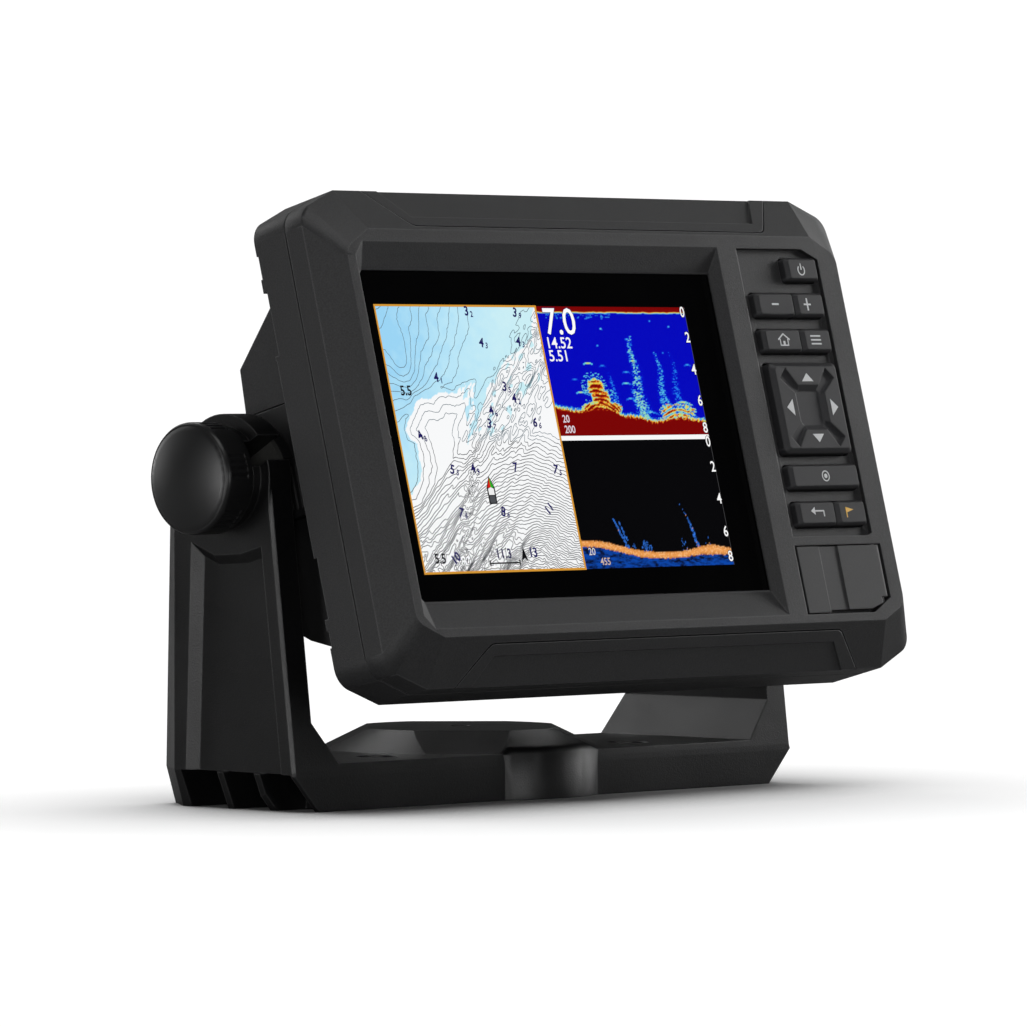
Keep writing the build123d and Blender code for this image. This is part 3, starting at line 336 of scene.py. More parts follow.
def paint(name, x_range, y_range, step, colour_at):
    """A flat grid on the display face, coloured point by point by colour_at(x, y)."""
    columns = int(round((x_range[1] - x_range[0]) / step)) + 1
    rows = int(round((y_range[1] - y_range[0]) / step)) + 1
    x, y = np.meshgrid(np.linspace(*x_range, columns), np.linspace(*y_range, rows), indexing="ij")
    points = display_points(x.ravel(), y.ravel(), DISPLAY_Z)
    index = np.arange(columns * rows).reshape(columns, rows)
    corners = [index[:-1, :-1], index[1:, :-1], index[1:, 1:], index[:-1, 1:]]
    quads = np.stack(corners, -1).reshape(-1, 4)
    mesh = bpy.data.meshes.new(name)
    mesh.vertices.add(len(points))
    mesh.vertices.foreach_set("co", points.astype(np.float32).ravel())
    mesh.loops.add(quads.size)
    mesh.loops.foreach_set("vertex_index", quads.ravel().astype(np.int32))
    mesh.polygons.add(len(quads))
    mesh.polygons.foreach_set("loop_start", np.arange(0, quads.size, 4, dtype=np.int32))
    mesh.update(calc_edges=True)
    add_lit_mesh(name, mesh, colour_at(x, y).reshape(-1, 3))


# ------------------------------------------------------------ field helpers
def value_noise(x, y, seed):
    """Smoothly blended random lattice, 0 to 1, repeating every 256 cells."""
    grid = np.random.default_rng(seed).random((256, 256))
    column, row = np.floor(x).astype(int), np.floor(y).astype(int)
    across, along = x - column, y - row
    across = across * across * (3 - 2 * across)
    along = along * along * (3 - 2 * along)

    def blend(j):
        near = grid[column % 256, (row + j) % 256]
        far = grid[(column + 1) % 256, (row + j) % 256]
        return near * (1 - across) + far * across

    return blend(0) * (1 - along) + blend(1) * along


def fractal(x, y, seed, octaves=3):
    """Layered value noise, -0.5 to 0.5."""
    total, weight, weights = 0.0, 1.0, 0.0
    for o in range(octaves):
        layer = value_noise(x * 2 ** o + 17.3 * o, y * 2 ** o + 9.1 * o, seed + o)
        total = total + weight * layer
        weights += weight
        weight *= 0.5
    return total / weights - 0.5


def follow(line, x):
    """Height at x of a line of (x, y) points."""
    return np.interp(x, *zip(*line))


def ellipse(x, y, centre_x, centre_y, radius_x, radius_y):
    """1 at the centre, falling to 0 at the rim."""
    return np.clip(1 - ((x - centre_x) / radius_x) ** 2 - ((y - centre_y) / radius_y) ** 2, 0, 1)


def ellipses(x, y, table):
    return np.maximum.reduce([ellipse(x, y, *row) for row in table])


# --------------------------------------------------------------- chart pane
# All display positions are x, y in mm from the display's centre.
CHART_X, CHART_Y = (-53.6, 0.7), (-32.0, 32.0)

# closed outline of the blue water
WATER = np.array([
    (-60, 40), (0.4, 40), (0.4, 32.4), (-2.2, 25.2), (-4.3, 22.7), (-8.9, 21.0), (-12.9, 19.0),
    (-16.6, 15.4), (-20.4, 12.9), (-22.6, 9.8), (-24.2, 6.3), (-27.1, 3.2), (-30.1, -0.4),
    (-31.6, -2.1), (-30.6, 0.3), (-28.1, 3.2), (-26.1, 6.8), (-26.1, 9.3), (-24.7, 13.4),
    (-26.4, 13.4), (-28.9, 12.9), (-32.1, 11.0), (-37.9, 11.0), (-40.0, 9.6), (-42.6, 9.8),
    (-45.2, 8.9), (-47.0, 7.0), (-50.0, 4.6), (-51.0, 2.2), (-50.1, 0.2), (-48.1, -1.0),
    (-48.2, -3.9), (-48.2, -6.3), (-49.3, -9.4), (-52.7, -13.2), (-60, -14)], float)
# top edge of the steep ground, left to right
STEEP_TOP = [(-60, -19), (-54, -16), (-47, -11.5), (-40.2, -6.8), (-31.6, -2.4), (-24, 1.5),
             (-12.9, 3.6), (-6, 1.6), (0.4, -0.5), (4, -1)]


def inside(x, y, outline):
    """Even-odd test of points against a closed outline."""
    result = np.zeros(x.shape, bool)
    for (x1, y1), (x0, y0) in zip(outline, np.roll(outline, 1, axis=0)):
        crossing = (x0 - x1) * (y - y1) / (y0 - y1 + 1e-12) + x1
        result ^= ((y1 > y) != (y0 > y)) & (x < crossing)
    return result


def shore_distance(x, y):
    """Distance to the water's edge: positive in the blue."""
    nearest = np.full(x.shape, 1e9)
    for start, end in zip(WATER, np.roll(WATER, -1, axis=0)):
        side = end - start
        along = (x - start[0]) * side[0] + (y - start[1]) * side[1]
        t = np.clip(along / (side @ side + 1e-9), 0, 1)
        gap = np.hypot(x - start[0] - t * side[0], y - start[1] - t * side[1])
        nearest = np.minimum(nearest, gap)
    return np.where(inside(x, y, WATER), nearest, -nearest)


def depth_field(x, y):
    """The height field whose levels are the contour lines."""
    down_right, up_right = (x - y) * 0.7071, (x + y) * 0.7071
    shore = shore_distance(x + 2.2 * fractal(x * 0.16, y * 0.16, seed=11, octaves=4),
                           y + 1.8 * fractal(x * 0.2 + 5, y * 0.2, seed=23, octaves=4))
    # deep water off the upper left, its lines bending round to leave by the side
    bend = np.hypot((x + 60.0) * 0.62, (y - 34.0) * 0.74)
    deep = np.clip(24.0 - bend + 3.6 * fractal(x * 0.10, y * 0.10, seed=17), 0, 40) * 0.52
    lobe = 2.6 * np.exp(-(((x + 47.5) / 4.2) ** 2 + ((y - 17.5) / 6.5) ** 2))
    # steep ground below, folded along the diagonal, more so to the left
    left = np.clip((-14 - x) / 16, 0, 1)
    broad = fractal(down_right * 0.30, up_right * 0.05, seed=31)
    narrow = fractal(down_right * 0.85, up_right * 0.16, seed=33, octaves=2)
    fold = broad * (2.4 + 4.6 * left) + narrow * (0.8 + 1.6 * left)
    drop = np.clip(follow(STEEP_TOP, x) - y + fold, 0, 60)
    slope = drop * 0.80 + drop ** 2 * 0.013
    # islets strung along the diagonal above it
    band = (np.clip((down_right + 26) / 5, 0, 1) * np.clip((-3 - down_right) / 7, 0, 1)
            * np.clip((y + 8) / 8, 0, 1))
    crests = fractal(down_right * 0.62, up_right * 0.17, seed=41)
    ridges = np.clip(crests + 0.02, -1, 1) * 7.5 * band
    # a rough streak down the steep ground, and general roughness lower still
    scree = (np.clip(1 - np.abs(x + 33.5 + (y + 14) * -0.42) / 3.2, 0, 1)
             * np.clip((-1 - y) / 8, 0, 1))
    roughness = 0.35 + 5.0 * scree + 2.2 * np.clip((-20 - y) / 12, 0, 1)
    rough = fractal(x * 0.9, y * 0.9, seed=53) * roughness
    return (deep * np.clip(shore / 3, 0, 1) + lobe - 0.55 * np.clip(shore, -6, 1.5)
            + slope + ridges + rough)


SHALLOW_WHITE, PALE_BLUE, MID_BLUE, DEEP_BLUE = (np.array(linear(*colour)) for colour in (
    (249, 250, 251), (204, 240, 247), (186, 231, 249), (156, 214, 246)))
SLOPE_REACH = 0.35  # half the span over which hill shading measures the slope


def chart_colour(x, y):
    wobble = fractal(x * 0.5, y * 0.5, seed=11)
    shore = shore_distance(x + 1.6 * wobble, y + 1.4 * fractal(x * 0.5 + 5, y * 0.5, seed=23))
    # blue and white specks along the shore
    speckle = fractal((x - y) * 0.7071 * 0.9, (x + y) * 0.25, seed=71) > 0.12
    specks = speckle & (x > -30) & (x < -2) & (y > 0) & (y < 26) & (np.abs(shore) < 9)
    water = (shore > 0) | specks
    # the blue deepens towards the upper left
    t = 1.25 - np.hypot((x + 60) * 0.72, (y - 26) * 0.80) / 30 + 0.35 * wobble
    t = np.clip(t, 0, 1)[..., None]
    blue = np.where(t < 0.5, PALE_BLUE * (1 - 2 * t) + MID_BLUE * 2 * t,
                    MID_BLUE * (2 - 2 * t) + DEEP_BLUE * (2 * t - 1))
    lobes = (x < -42) & (y > 8) & (y < 25) & (depth_field(x, y) > 10.2)
    blue = np.where(lobes[..., None], DEEP_BLUE, blue)
    colour = np.where(water[..., None], blue, SHALLOW_WHITE)
    # hill shading of the steep ground
    slope = (depth_field(x + SLOPE_REACH, y) - depth_field(x - SLOPE_REACH, y)) * 0.5
    shade = np.clip(1 - 0.16 * np.abs(slope) * np.clip((-12 - y) / 12, 0, 1), 0.45, 1)
    return colour * shade[..., None]


paint("chart_ground", CHART_X, CHART_Y, 0.25, chart_colour)

# the sides of a grid cell: start column and row, then step along each
CELL_SIDES = ((0, 0, 1, 0), (1, 0, 0, 1), (0, 1, 1, 0), (0, 0, 0, 1))
LEVELS = np.arange(-6.3, 60, 1.0)
CONTOUR_STEP = 0.33

contour_xs, contour_ys = (
    np.linspace(low, high, int((high - low) / CONTOUR_STEP) + 1)
    for low, high in (CHART_X, CHART_Y))
contour_x, contour_y = np.meshgrid(contour_xs, contour_ys, indexing="ij")
contour_depth = depth_field(contour_x, contour_y)


def contour_lines(name, shown, width, colour, lift):
    """Marching squares where shown, drawn as thin flat ribbons of even width."""
    field = np.where(shown, contour_depth, np.nan)
    corners = [field[:-1, :-1], field[1:, :-1], field[1:, 1:], field[:-1, 1:]]
    lowest, highest = np.minimum.reduce(corners), np.maximum.reduce(corners)
    cell_x, cell_y = contour_xs[1] - contour_xs[0], contour_ys[1] - contour_ys[0]
    segments = []
    for level in LEVELS:
        for i, j in zip(*np.nonzero((lowest < level) & (highest >= level))):
            x, y = contour_x[i, j], contour_y[i, j]
            points = []
            for column, row, step_x, step_y in CELL_SIDES:
                near = field[i + column, j + row]
                far = field[i + column + step_x, j + row + step_y]
                if (near < level) != (far < level):
                    points.append((
                        x + column * cell_x + step_x * cell_x * (level - near) / (far - near),
                        y + row * cell_y + step_y * cell_y * (level - near) / (far - near)))
            for k in range(0, len(points) - 1, 2):
                segments.append((*points[k], *points[k + 1]))
    segments = np.array(segments)
    start, end = segments[:, :2], segments[:, 2:]
    along = end - start
    along = along / (np.linalg.norm(along, axis=1, keepdims=True) + 1e-9)
    side = np.stack([-along[:, 1], along[:, 0]], 1) * width / 2
    overlap = along * width * 0.25
    quads = np.stack([start - overlap - side, end + overlap - side,
                      end + overlap + side, start - overlap + side], 1).reshape(-1, 2)
    vertices = display_points(np.clip(quads[:, 0], *CHART_X), np.clip(quads[:, 1], *CHART_Y),
                              DISPLAY_Z + lift)
    faces = np.arange(len(vertices)).reshape(-1, 4).tolist()
    add_lit_polygons(name, vertices, faces, [linear(*colour)] * len(vertices))


STEEP_BELOW = -1.0  # y under which the lines are darker and wider; the two sets overlap a little
contour_lines("chart_contours", contour_y > STEEP_BELOW,
              width=0.15, colour=(96, 112, 122), lift=0.02)
contour_lines("chart_contours_steep", contour_y <= STEEP_BELOW + CONTOUR_STEP * 1.5,
              width=0.17, colour=(74, 76, 80), lift=0.022)

# ---------------------------------------------------------- upper echo pane
ECHO_X = (1.3, 54.0)

# echo strength 0-1, display colour
ECHO_COLOURS = [
    (0.00, (0, 0, 186)), (0.20, (0, 20, 205)), (0.34, (30, 120, 235)), (0.48, (95, 205, 225)),
    (0.58, (190, 225, 120)), (0.68, (240, 210, 60)), (0.78, (225, 100, 25)),
    (0.88, (160, 20, 5)), (1.0, (122, 0, 0))]
# top of the sea bed, left to right
UPPER_FLOOR = [
    (0.8, 8.2), (3.0, 7.4), (6.4, 6.9), (9.8, 6.7), (13.4, 7.1), (17.0, 7.4), (21.2, 7.1),
    (23.1, 6.1), (25.4, 5.3), (30.6, 5.1), (34.6, 4.0), (37.5, 4.0), (40.5, 4.5), (45.0, 5.0),
    (49.2, 4.5), (54.5, 3.9)]
# ellipses: centre x, y, radius x, y
SHOAL = ((16.8, 12.0, 3.1, 2.7), (18.0, 9.6, 3.4, 2.6), (14.8, 7.1, 4.4, 1.5),
         (21.2, 7.0, 3.8, 1.6))
SHOAL_HALO = ((16.4, 12.6, 4.6, 3.6), (18.6, 8.6, 6.4, 3.8))
# centre x, bottom y, top y, half width, gain, seed, strength limit
PLUMES = ((32.0, 4, 25.0, 2.5, 0.98, 61, 0.52), (40.6, 4, 21.0, 2.0, 0.84, 67, 0.44),
          (45.8, 10, 21.0, 1.5, 0.55, 73, 0.34), (22.8, 7, 16.0, 1.7, 0.55, 83, 0.34))
# centre x, crown y, half width, strength
ARCHES = (
    (15.7, 18.3, 1.7, 0.62), (20.6, 17.6, 1.5, 0.36), (10.0, 14.3, 1.4, 0.36),
    (11.2, 11.1, 1.7, 0.58), (28.7, 16.1, 1.6, 0.40), (27.9, 13.3, 1.6, 0.52),
    (28.4, 9.4, 1.7, 0.44), (31.8, 18.9, 1.3, 0.60), (31.2, 24.3, 0.8, 0.44),
    (31.4, 22.4, 0.7, 0.36), (51.2, 17.8, 1.5, 0.40), (34.6, 6.0, 3.2, 0.44),
    (46.9, 8.5, 2.6, 0.60), (20.3, 22.6, 0.5, 0.42), (22.6, 26.8, 0.5, 0.50),
    (40.6, 28.8, 0.45, 0.40), (47.1, 27.4, 0.5, 0.44), (43.2, 20.9, 0.5, 0.36))


def echo_colour(strength):
    strengths, colours = zip(*ECHO_COLOURS)
    channels = zip(*(linear(*colour) for colour in colours))
    return np.stack([np.interp(strength, strengths, channel) for channel in channels], -1)


def plume(x, y, centre, bottom, top, width, gain, seed, limit):
    """A rising column of small dashes, narrowing and fading upwards."""
    t = np.clip((y - bottom) / (top - bottom), 0, 1)
    narrowed = width * (1.05 - 0.75 * t)
    lateral = np.exp(-((x - centre - 0.5 * np.sin(y * 0.6 + seed)) / narrowed) ** 2)
    dashes = np.clip(fractal(x * 1.7, y * 5.4, seed=seed, octaves=2) + 0.17, 0, 1) * 2.4
    strength = np.clip(lateral * dashes * gain * (1.1 - 0.5 * t), 0, limit)
    return np.where((y > bottom - 2) & (y < top), strength, 0)


def upper_colour(x, y):
    echo = 0.03 + 0.03 * fractal(x * 1.2, y * 2.2, seed=9)
    fine = fractal(x * 3.1, y * 4.6, seed=15, octaves=2)
    dashes = fractal(x * 1.5, y * 5.2, seed=43, octaves=2)
    # bottom echo and its fringe
    floor = follow(UPPER_FLOOR, x) + 0.7 * fractal(x * 2.4, x * 0 + 3, seed=5)
    under = floor - y
    echo = np.where(under > -0.7, np.clip(0.52 + under * 0.62 + 0.75 * fine, 0.05, 1), echo)
    echo = np.where(under > 0.9, 1.0, echo)
    # surface clutter
    above = y - (30.85 + 0.25 * fractal(x * 0.8, x * 0, seed=19, octaves=2))
    echo = np.where(above > -0.22, np.clip(0.62 + above * 1.2, 0.3, 1), echo)
    echo = np.where(above > 0.35, 1.0, echo)
    flecks = fractal(x * 1.4, y * 3.5, seed=29, octaves=2) > 0.17
    echo = np.where((y > 29.3) & (above <= -0.22) & flecks & (x > 4) & (x < 27), 0.36, echo)
    # shoal of fish: stacked arches with a ragged fringe
    shoal = ellipses(x, y, SHOAL)
    waver = 5 * fractal(x * 0.5, y * 0.6, seed=37, octaves=2)
    stripes = 0.5 + 0.5 * np.sin((y + 0.075 * (x - 17.2) ** 2) * 5.6 + waver)
    strength = shoal ** 0.30 * (0.74 + 0.38 * stripes) + 0.62 * dashes * (1.25 - shoal) + 0.25 * fine
    echo = np.where(shoal > 0.02, np.maximum(echo, np.clip(strength, 0, 1)), echo)
    fringe = (ellipses(x, y, SHOAL_HALO) > 0.05) & (dashes > 0.13)
    echo = np.where(fringe, np.maximum(echo, 0.34 + 0.5 * dashes), echo)
    for row in PLUMES:
        echo = np.maximum(echo, plume(x, y, *row))
    # mounds at the right
    mound = np.maximum(ellipse(x, y, 41.6, 5.8, 3.9, 2.3), 0.75 * ellipse(x, y, 46.8, 6.0, 4.6, 2.7))
    stripes = 0.68 + 0.26 * np.sin((y + 0.05 * (x - 45) ** 2) * 5)
    ragged = 1.35 * fractal(x * 2.0, y * 4.4, seed=79, octaves=2) * (1.25 - mound)
    strength = mound ** 0.40 * stripes + ragged
    echo = np.where(mound > 0.02, np.maximum(echo, np.clip(strength, 0, 0.95)), echo)
    # loose arches and specks
    for centre, crown, width, strength in ARCHES:
        arch = np.abs(y - (crown - 0.14 * (x - centre) ** 2 / (width * 0.6))) < 0.20
        faded = strength - 0.22 * np.abs(x - centre) / width
        echo = np.where(arch & (np.abs(x - centre) < width), np.maximum(echo, faded), echo)
    return echo_colour(np.clip(echo, 0, 1))


paint("echo_upper", ECHO_X, (0.35, 32.3), 0.2, upper_colour)

# ---------------------------------------------------------- lower echo pane
# top and bottom of the orange bed, left to right
BED_TOP = [
    (1.0, -25.2), (7.9, -25.6), (11.3, -26.1), (14.6, -26.9), (18.6, -27.7), (23.0, -28.3),
    (28.3, -28.7), (35.5, -28.6), (39.9, -28.2), (43.0, -27.5), (47.5, -27.1), (50.9, -27.6),
    (54.0, -28.2)]
BED_BOTTOM = [
    (1.3, -26.9), (7.5, -27.2), (12.5, -28.1), (17.5, -29.1), (22.6, -30.0), (27.9, -30.3),
    (35.0, -30.3), (39.5, -29.8), (44.2, -29.6), (47.8, -29.7), (54.0, -29.8)]
# weight, foot x, y, head x, y, half width
RISERS = (
    (1.0, 17.6, -28.0, 14.0, -20.2, 0.75), (1.0, 17.4, -25.5, 15.4, -20.0, 0.5),
    (1.0, 42.6, -28.0, 40.4, -20.0, 0.85), (0.72, 41.2, -22.0, 38.6, -17.0, 0.4),
    (0.80, 24.0, -28.4, 23.6, -25.6, 3.0), (0.62, 19.5, -28.4, 19.5, -26.4, 2.2),
    (0.55, 46.0, -27.0, 46.5, -25.2, 3.0), (0.55, 38.0, -28.5, 37.0, -25.5, 3.6))
DARK_ORANGE, ORANGE, PALE_ORANGE, SPECK_BLUE, BRIGHT_BLUE, DARK_BLUE = (
    np.array(linear(*colour)) for colour in (
        (150, 84, 34), (240, 160, 84), (255, 205, 150), (46, 112, 214), (8, 70, 170), (4, 12, 40)))


def riser(x, y, weight, foot_x, foot_y, head_x, head_y, width):
    """A leaning streak, narrowing upwards."""
    t = (y - foot_y) / (head_y - foot_y)
    centre = foot_x + (head_x - foot_x) * t
    narrowed = width * (1.3 - 0.8 * np.clip(t, 0, 1))
    inside_span = (t > -0.05) & (t < 1)
    return weight * np.where(inside_span, np.exp(-((x - centre) / narrowed) ** 2), 0)


def lower_colour(x, y):
    top = follow(BED_TOP, x) + 0.35 * fractal(x * 2.0, x * 0, seed=91)
    bottom = follow(BED_BOTTOM, x) + 0.4 * fractal(x * 1.3, x * 0 + 7, seed=97)
    colour = np.zeros((*x.shape, 3))
    colour[:] = linear(2, 2, 4)
    # the bed, brightest along its middle
    bed = (y <= top) & (y >= bottom)
    t = np.clip((top - y) / (top - bottom + 1e-6), 0, 1)
    grain = fractal(x * 2.6, y * 4.0, seed=101)
    bright = np.clip(np.sin(t * math.pi) ** 0.5 + grain * 0.6, 0, 1)[..., None]
    colour = np.where(bed[..., None], DARK_ORANGE * (1 - bright) + ORANGE * bright, colour)
    hot = (bed & (grain > 0.12))[..., None]
    colour = np.where(hot, colour * 0.5 + PALE_ORANGE * 0.5, colour)
    # mottled blue under it
    under = y < bottom
    mottle = fractal(x * 0.8 + y * 0.5, y * 2.6 + x * 0.15, seed=107, octaves=4)
    dimming = np.clip((bottom - y - 0.2) * (bottom - y < 1.0), 0, 1)
    bright = np.clip(0.62 + mottle * 2.6 - 0.5 * dimming, 0, 1)[..., None]
    colour = np.where(under[..., None], BRIGHT_BLUE * bright + DARK_BLUE * (1 - bright), colour)
    # risers and specks over the bed
    dots = value_noise(x * 3.4, y * 3.4, seed=113)
    rising = np.maximum.reduce([riser(x, y, *row) for row in RISERS])
    lit = (rising * (0.35 + dots) > 0.62) & ~bed & ~under
    glimmer = value_noise(x * 2.0, y * 2.0, seed=117)[..., None]
    colour = np.where(lit[..., None], SPECK_BLUE * (0.35 + 0.9 * glimmer), colour)
    warm = lit & (value_noise(x * 2.6, y * 2.6, seed=119) > 0.90)
    return np.where(warm[..., None], ORANGE * 0.8, colour)


paint("echo_lower", ECHO_X, (-32.3, -1.0), 0.25, lower_colour)

# ---------------------------------------- borders, dividers, scale bar, boat
GOLD, WHITE, BLACK = (214, 150, 52), (250, 250, 250), (16, 16, 18)
# left, bottom, right, top, colour, lift off the display face
RECTANGLES = (
    (-54, 32.0, 1.3, 32.5, GOLD, 0.04),
    (-54, -32.5, 1.3, -31.95, GOLD, 0.04),
    (-54, -32.5, -53.5, 32.5, GOLD, 0.04),
    (0.65, -32.5, 1.25, 32.5, GOLD, 0.04),
    (1.3, -0.85, 53.9, 0.30, WHITE, 0.04),
    (53.9, -32.4, 54.1, 32.4, (60, 60, 62), 0.03),
    (-31.3, -30.45, -21.1, -30.1, BLACK, 0.05),
    (-31.45, -31.0, -31.05, -29.5, BLACK, 0.05),
    (-21.35, -31.0, -20.95, -29.5, BLACK, 0.05))
ARROWHEAD = [(-19.3, -26.4), (-18.1, -30.3), (-19.3, -29.1), (-20.5, -30.3)]
BOAT_X, BOAT_Y = -26.3, -12.9
# points from the boat's centre, colour, lift: hull, two bow halves, cabin, aft deck
BOAT = (
    ([(-1.35, -3.1), (1.35, -3.1), (1.35, 1.0), (0, 3.7), (-1.35, 1.0)], (20, 20, 22), 0.05),
    ([(-1.1, 0.9), (0, 0.9), (0, 3.3)], (214, 30, 22), 0.06),
    ([(0, 0.9), (1.1, 0.9), (0, 3.3)], (40, 170, 40), 0.06),
    ([(-0.95, -0.9), (0.95, -0.9), (0.95, 0.6), (0, 1.0), (-0.95, 0.6)], (240, 240, 240), 0.06),
    ([(-0.95, -2.8), (0.95, -2.8), (0.95, -1.15), (-0.95, -1.15)], (78, 80, 84), 0.06))


def screen_lines():
    shapes = [([(x0, y0), (x1, y0), (x1, y1), (x0, y1)], colour, lift)
              for x0, y0, x1, y1, colour, lift in RECTANGLES]
    shapes.append((ARROWHEAD, BLACK, 0.05))
    shapes += [([(BOAT_X + x, BOAT_Y + y) for x, y in points], colour, lift)
               for points, colour, lift in BOAT]
    vertices, faces, colours = [], [], []
    for points, colour, lift in shapes:
        faces.append(list(range(len(vertices), len(vertices) + len(points))))
        vertices += [head_point(x + DISPLAY_X, y, DISPLAY_Z + lift) for x, y in points]
        colours += [linear(*colour)] * len(points)
    add_lit_polygons("screen_lines", vertices, faces, colours)


screen_lines()

# ------------------------------------------------------------ screen digits
TEXT_Z = DISPLAY_Z + 0.075
FRONT_LIFT = 0.012  # a light digit stands this far off its dark backing
NAVY, NEAR_BLACK, PINKISH = (28, 22, 92), (30, 30, 34), (225, 215, 225)
# soundings on the chart: whole figure, smaller tenths, x, y, turn in degrees
SOUNDINGS = (
    ("3", "2", -23.1, 30.9, 0), ("3", "9", -6.5, 30.6, -14), ("4", "3", -20.0, 23.2, -10),
    ("4", "3", -7.2, 23.5, -8), ("4", "1", -37.6, 14.7, 0), ("3", "5", -15.0, 12.4, -12),
    ("4", "2", -12.4, 9.5, 0), ("4", "6", -21.1, 6.6, 6), ("3", "7", -22.6, 3.4, -18),
    ("6", "6", -6.8, 3.6, -10), ("4", "8", -46.7, 0.7, 24), ("5", "5", -38.1, -7.6, -16),
    ("4", "9", -31.0, -7.4, 8), ("7", "", -16.6, -7.3, 0), ("7", "5", -2.9, -8.0, -14),
    ("7", "6", -37.9, -18.0, -12), ("8", "6", -23.6, -18.0, -14), ("11", "", -7.6, -17.5, 38),
    ("10", "", -42.5, -28.9, 34), ("13", "", -16.1, -28.0, 0))
# depth scales down the right edge: figure, x, y
SCALE_FIGURES = (
    ("0", 53.0, 31.0), ("2", 53.2, 24.6), ("4", 53.2, 16.5), ("6", 53.2, 8.7), ("8", 53.2, 1.9),
    ("0", 53.2, -1.6), ("2", 53.2, -7.9), ("4", 53.2, -15.9), ("6", 53.2, -24.1),
    ("8", 53.2, -30.3))

# text, x, y, size, colour, boldness, turn in degrees, width factor, lift
labels = []
for whole, tenths, x, y, turn in SOUNDINGS:
    labels.append((whole, x, y, 3.2, NAVY, 0.09, turn, 0.95, 0.0))
    if tenths:
        labels.append((tenths, x + 1.6, y - 0.75, 2.0, NAVY, 0.05, turn, 0.9, 0.0))
labels += [
    ("5.5", -48.6, 11.5, 3.3, NEAR_BLACK, 0.08, 0, 0.95, 0.0),
    ("5.5", -47.8, -28.9, 3.3, NEAR_BLACK, 0.08, 0, 0.95, 0.0),
    ("11.3", -26.2, -28.1, 3.2, (40, 36, 80), 0.07, 0, 1.0, 0.0)]
for figure, x, y in SCALE_FIGURES:
    labels += [
        (figure, x, y, 3.7, (10, 10, 12), 0.20, 0, 0.90, 0.0),
        (figure, x, y, 3.7, WHITE, 0.05, 0, 0.90, FRONT_LIFT)]
labels += [
    ("7.0", 8.5, 28.2, 9.3, (10, 10, 90), 0.20, 0, 1.0, 0.0),
    ("7.0", 8.5, 28.2, 9.3, (255, 255, 255), 0.06, 0, 1.0, FRONT_LIFT),
    ("14.52", 6.8, 23.1, 3.9, WHITE, 0.04, 0, 1.06, 0.0),
    ("5.51", 6.0, 19.9, 3.9, WHITE, 0.04, 0, 1.06, 0.0),
    ("20", 4.2, 4.4, 2.6, PINKISH, 0.04, 0, 0.95, 0.0),
    ("200", 4.9, 1.8, 2.6, PINKISH, 0.04, 0, 0.95, 0.0),
    ("20", 4.3, -28.2, 2.5, (215, 210, 210), 0.03, 0, 0.95, 0.0),
    ("455", 8.4, -30.7, 2.5, (205, 180, 165), 0.03, 0, 0.95, 0.0)]


def text_outline(text, size, boldness):
    """A centred text as flat points in mm and faces."""
    curve = bpy.data.curves.new("text", "FONT")
    curve.body = text
    curve.size = size
    curve.align_x = "CENTER"
    curve.align_y = "CENTER"
    curve.offset = boldness
    curve.resolution_u = 3
    obj = bpy.data.objects.new("text", curve)
    scene.collection.objects.link(obj)
    evaluated = obj.evaluated_get(bpy.context.evaluated_depsgraph_get())
    mesh = bpy.data.meshes.new_from_object(evaluated)
    points = [tuple(vertex.co)[:2] for vertex in mesh.vertices]
    faces = [list(face.vertices) for face in mesh.polygons]
    bpy.data.meshes.remove(mesh)
    bpy.data.objects.remove(obj)
    bpy.data.curves.remove(curve)
    return points, faces


def screen_digits():
    vertices, faces, colours = [], [], []
    for text, x, y, size, colour, boldness, turn, squeeze, lift in labels:
        points, outlines = text_outline(text, size, boldness)
        first = len(vertices)
        cosine, sine = math.cos(math.radians(turn)), math.sin(math.radians(turn))
        for across, along in points:
            across *= squeeze
            vertices.append(head_point(DISPLAY_X + x + across * cosine - along * sine,
                                       y + across * sine + along * cosine, TEXT_Z + lift))
        faces += [[first + i for i in outline] for outline in outlines]
        colours += [linear(*colour)] * len(points)
    add_lit_polygons("screen_digits", vertices, faces, colours)


screen_digits()

# -------------------------------------------------------------- key legends
# Positions and heights here are in mm from the head's origin.
KEY_TOP, PAD_TOP = 3.4, 3.8
INK_SUNK, INK_RAISED = 0.02, 0.06  # how far a legend reaches below and above the key's top


def legend(name, body, polygons, z=KEY_TOP, material=LEGEND):
    """Printed symbol: flat polygons given a small thickness."""
    shape = bmesh.new()
    for points in polygons:
        low = [shape.verts.new(head_point(x, y, z - INK_SUNK)) for x, y in points]
        high = [shape.verts.new(head_point(x, y, z + INK_RAISED)) for x, y in points]
        shape.faces.new(high)
        for i in range(len(points)):
            j = (i + 1) % len(points)
            shape.faces.new((low[i], low[j], high[j], high[i]))
    bmesh.ops.recalc_face_normals(shape, faces=shape.faces)
    mesh = bpy.data.meshes.new(name)
    shape.to_mesh(mesh)
    shape.free()
    add_object(name, mesh, material, body)


def bar(x, y, width, height):
    """Rectangle about a centre."""
    left, right, bottom, top = x - width / 2, x + width / 2, y - height / 2, y + height / 2
    return [(left, bottom), (right, bottom), (right, top), (left, top)]


def arc_strip(x, y, radius, width, start, end, count):
    """Band along an arc, angles in degrees, in count pieces."""
    inner, outer = radius - width / 2, radius + width / 2
    turns = [math.radians(start + (end - start) * i / count) for i in range(count + 1)]
    return [[(x + reach * math.cos(turn), y + reach * math.sin(turn))
             for reach, turn in ((inner, t0), (outer, t0), (outer, t1), (inner, t1))]
            for t0, t1 in zip(turns[:-1], turns[1:])]


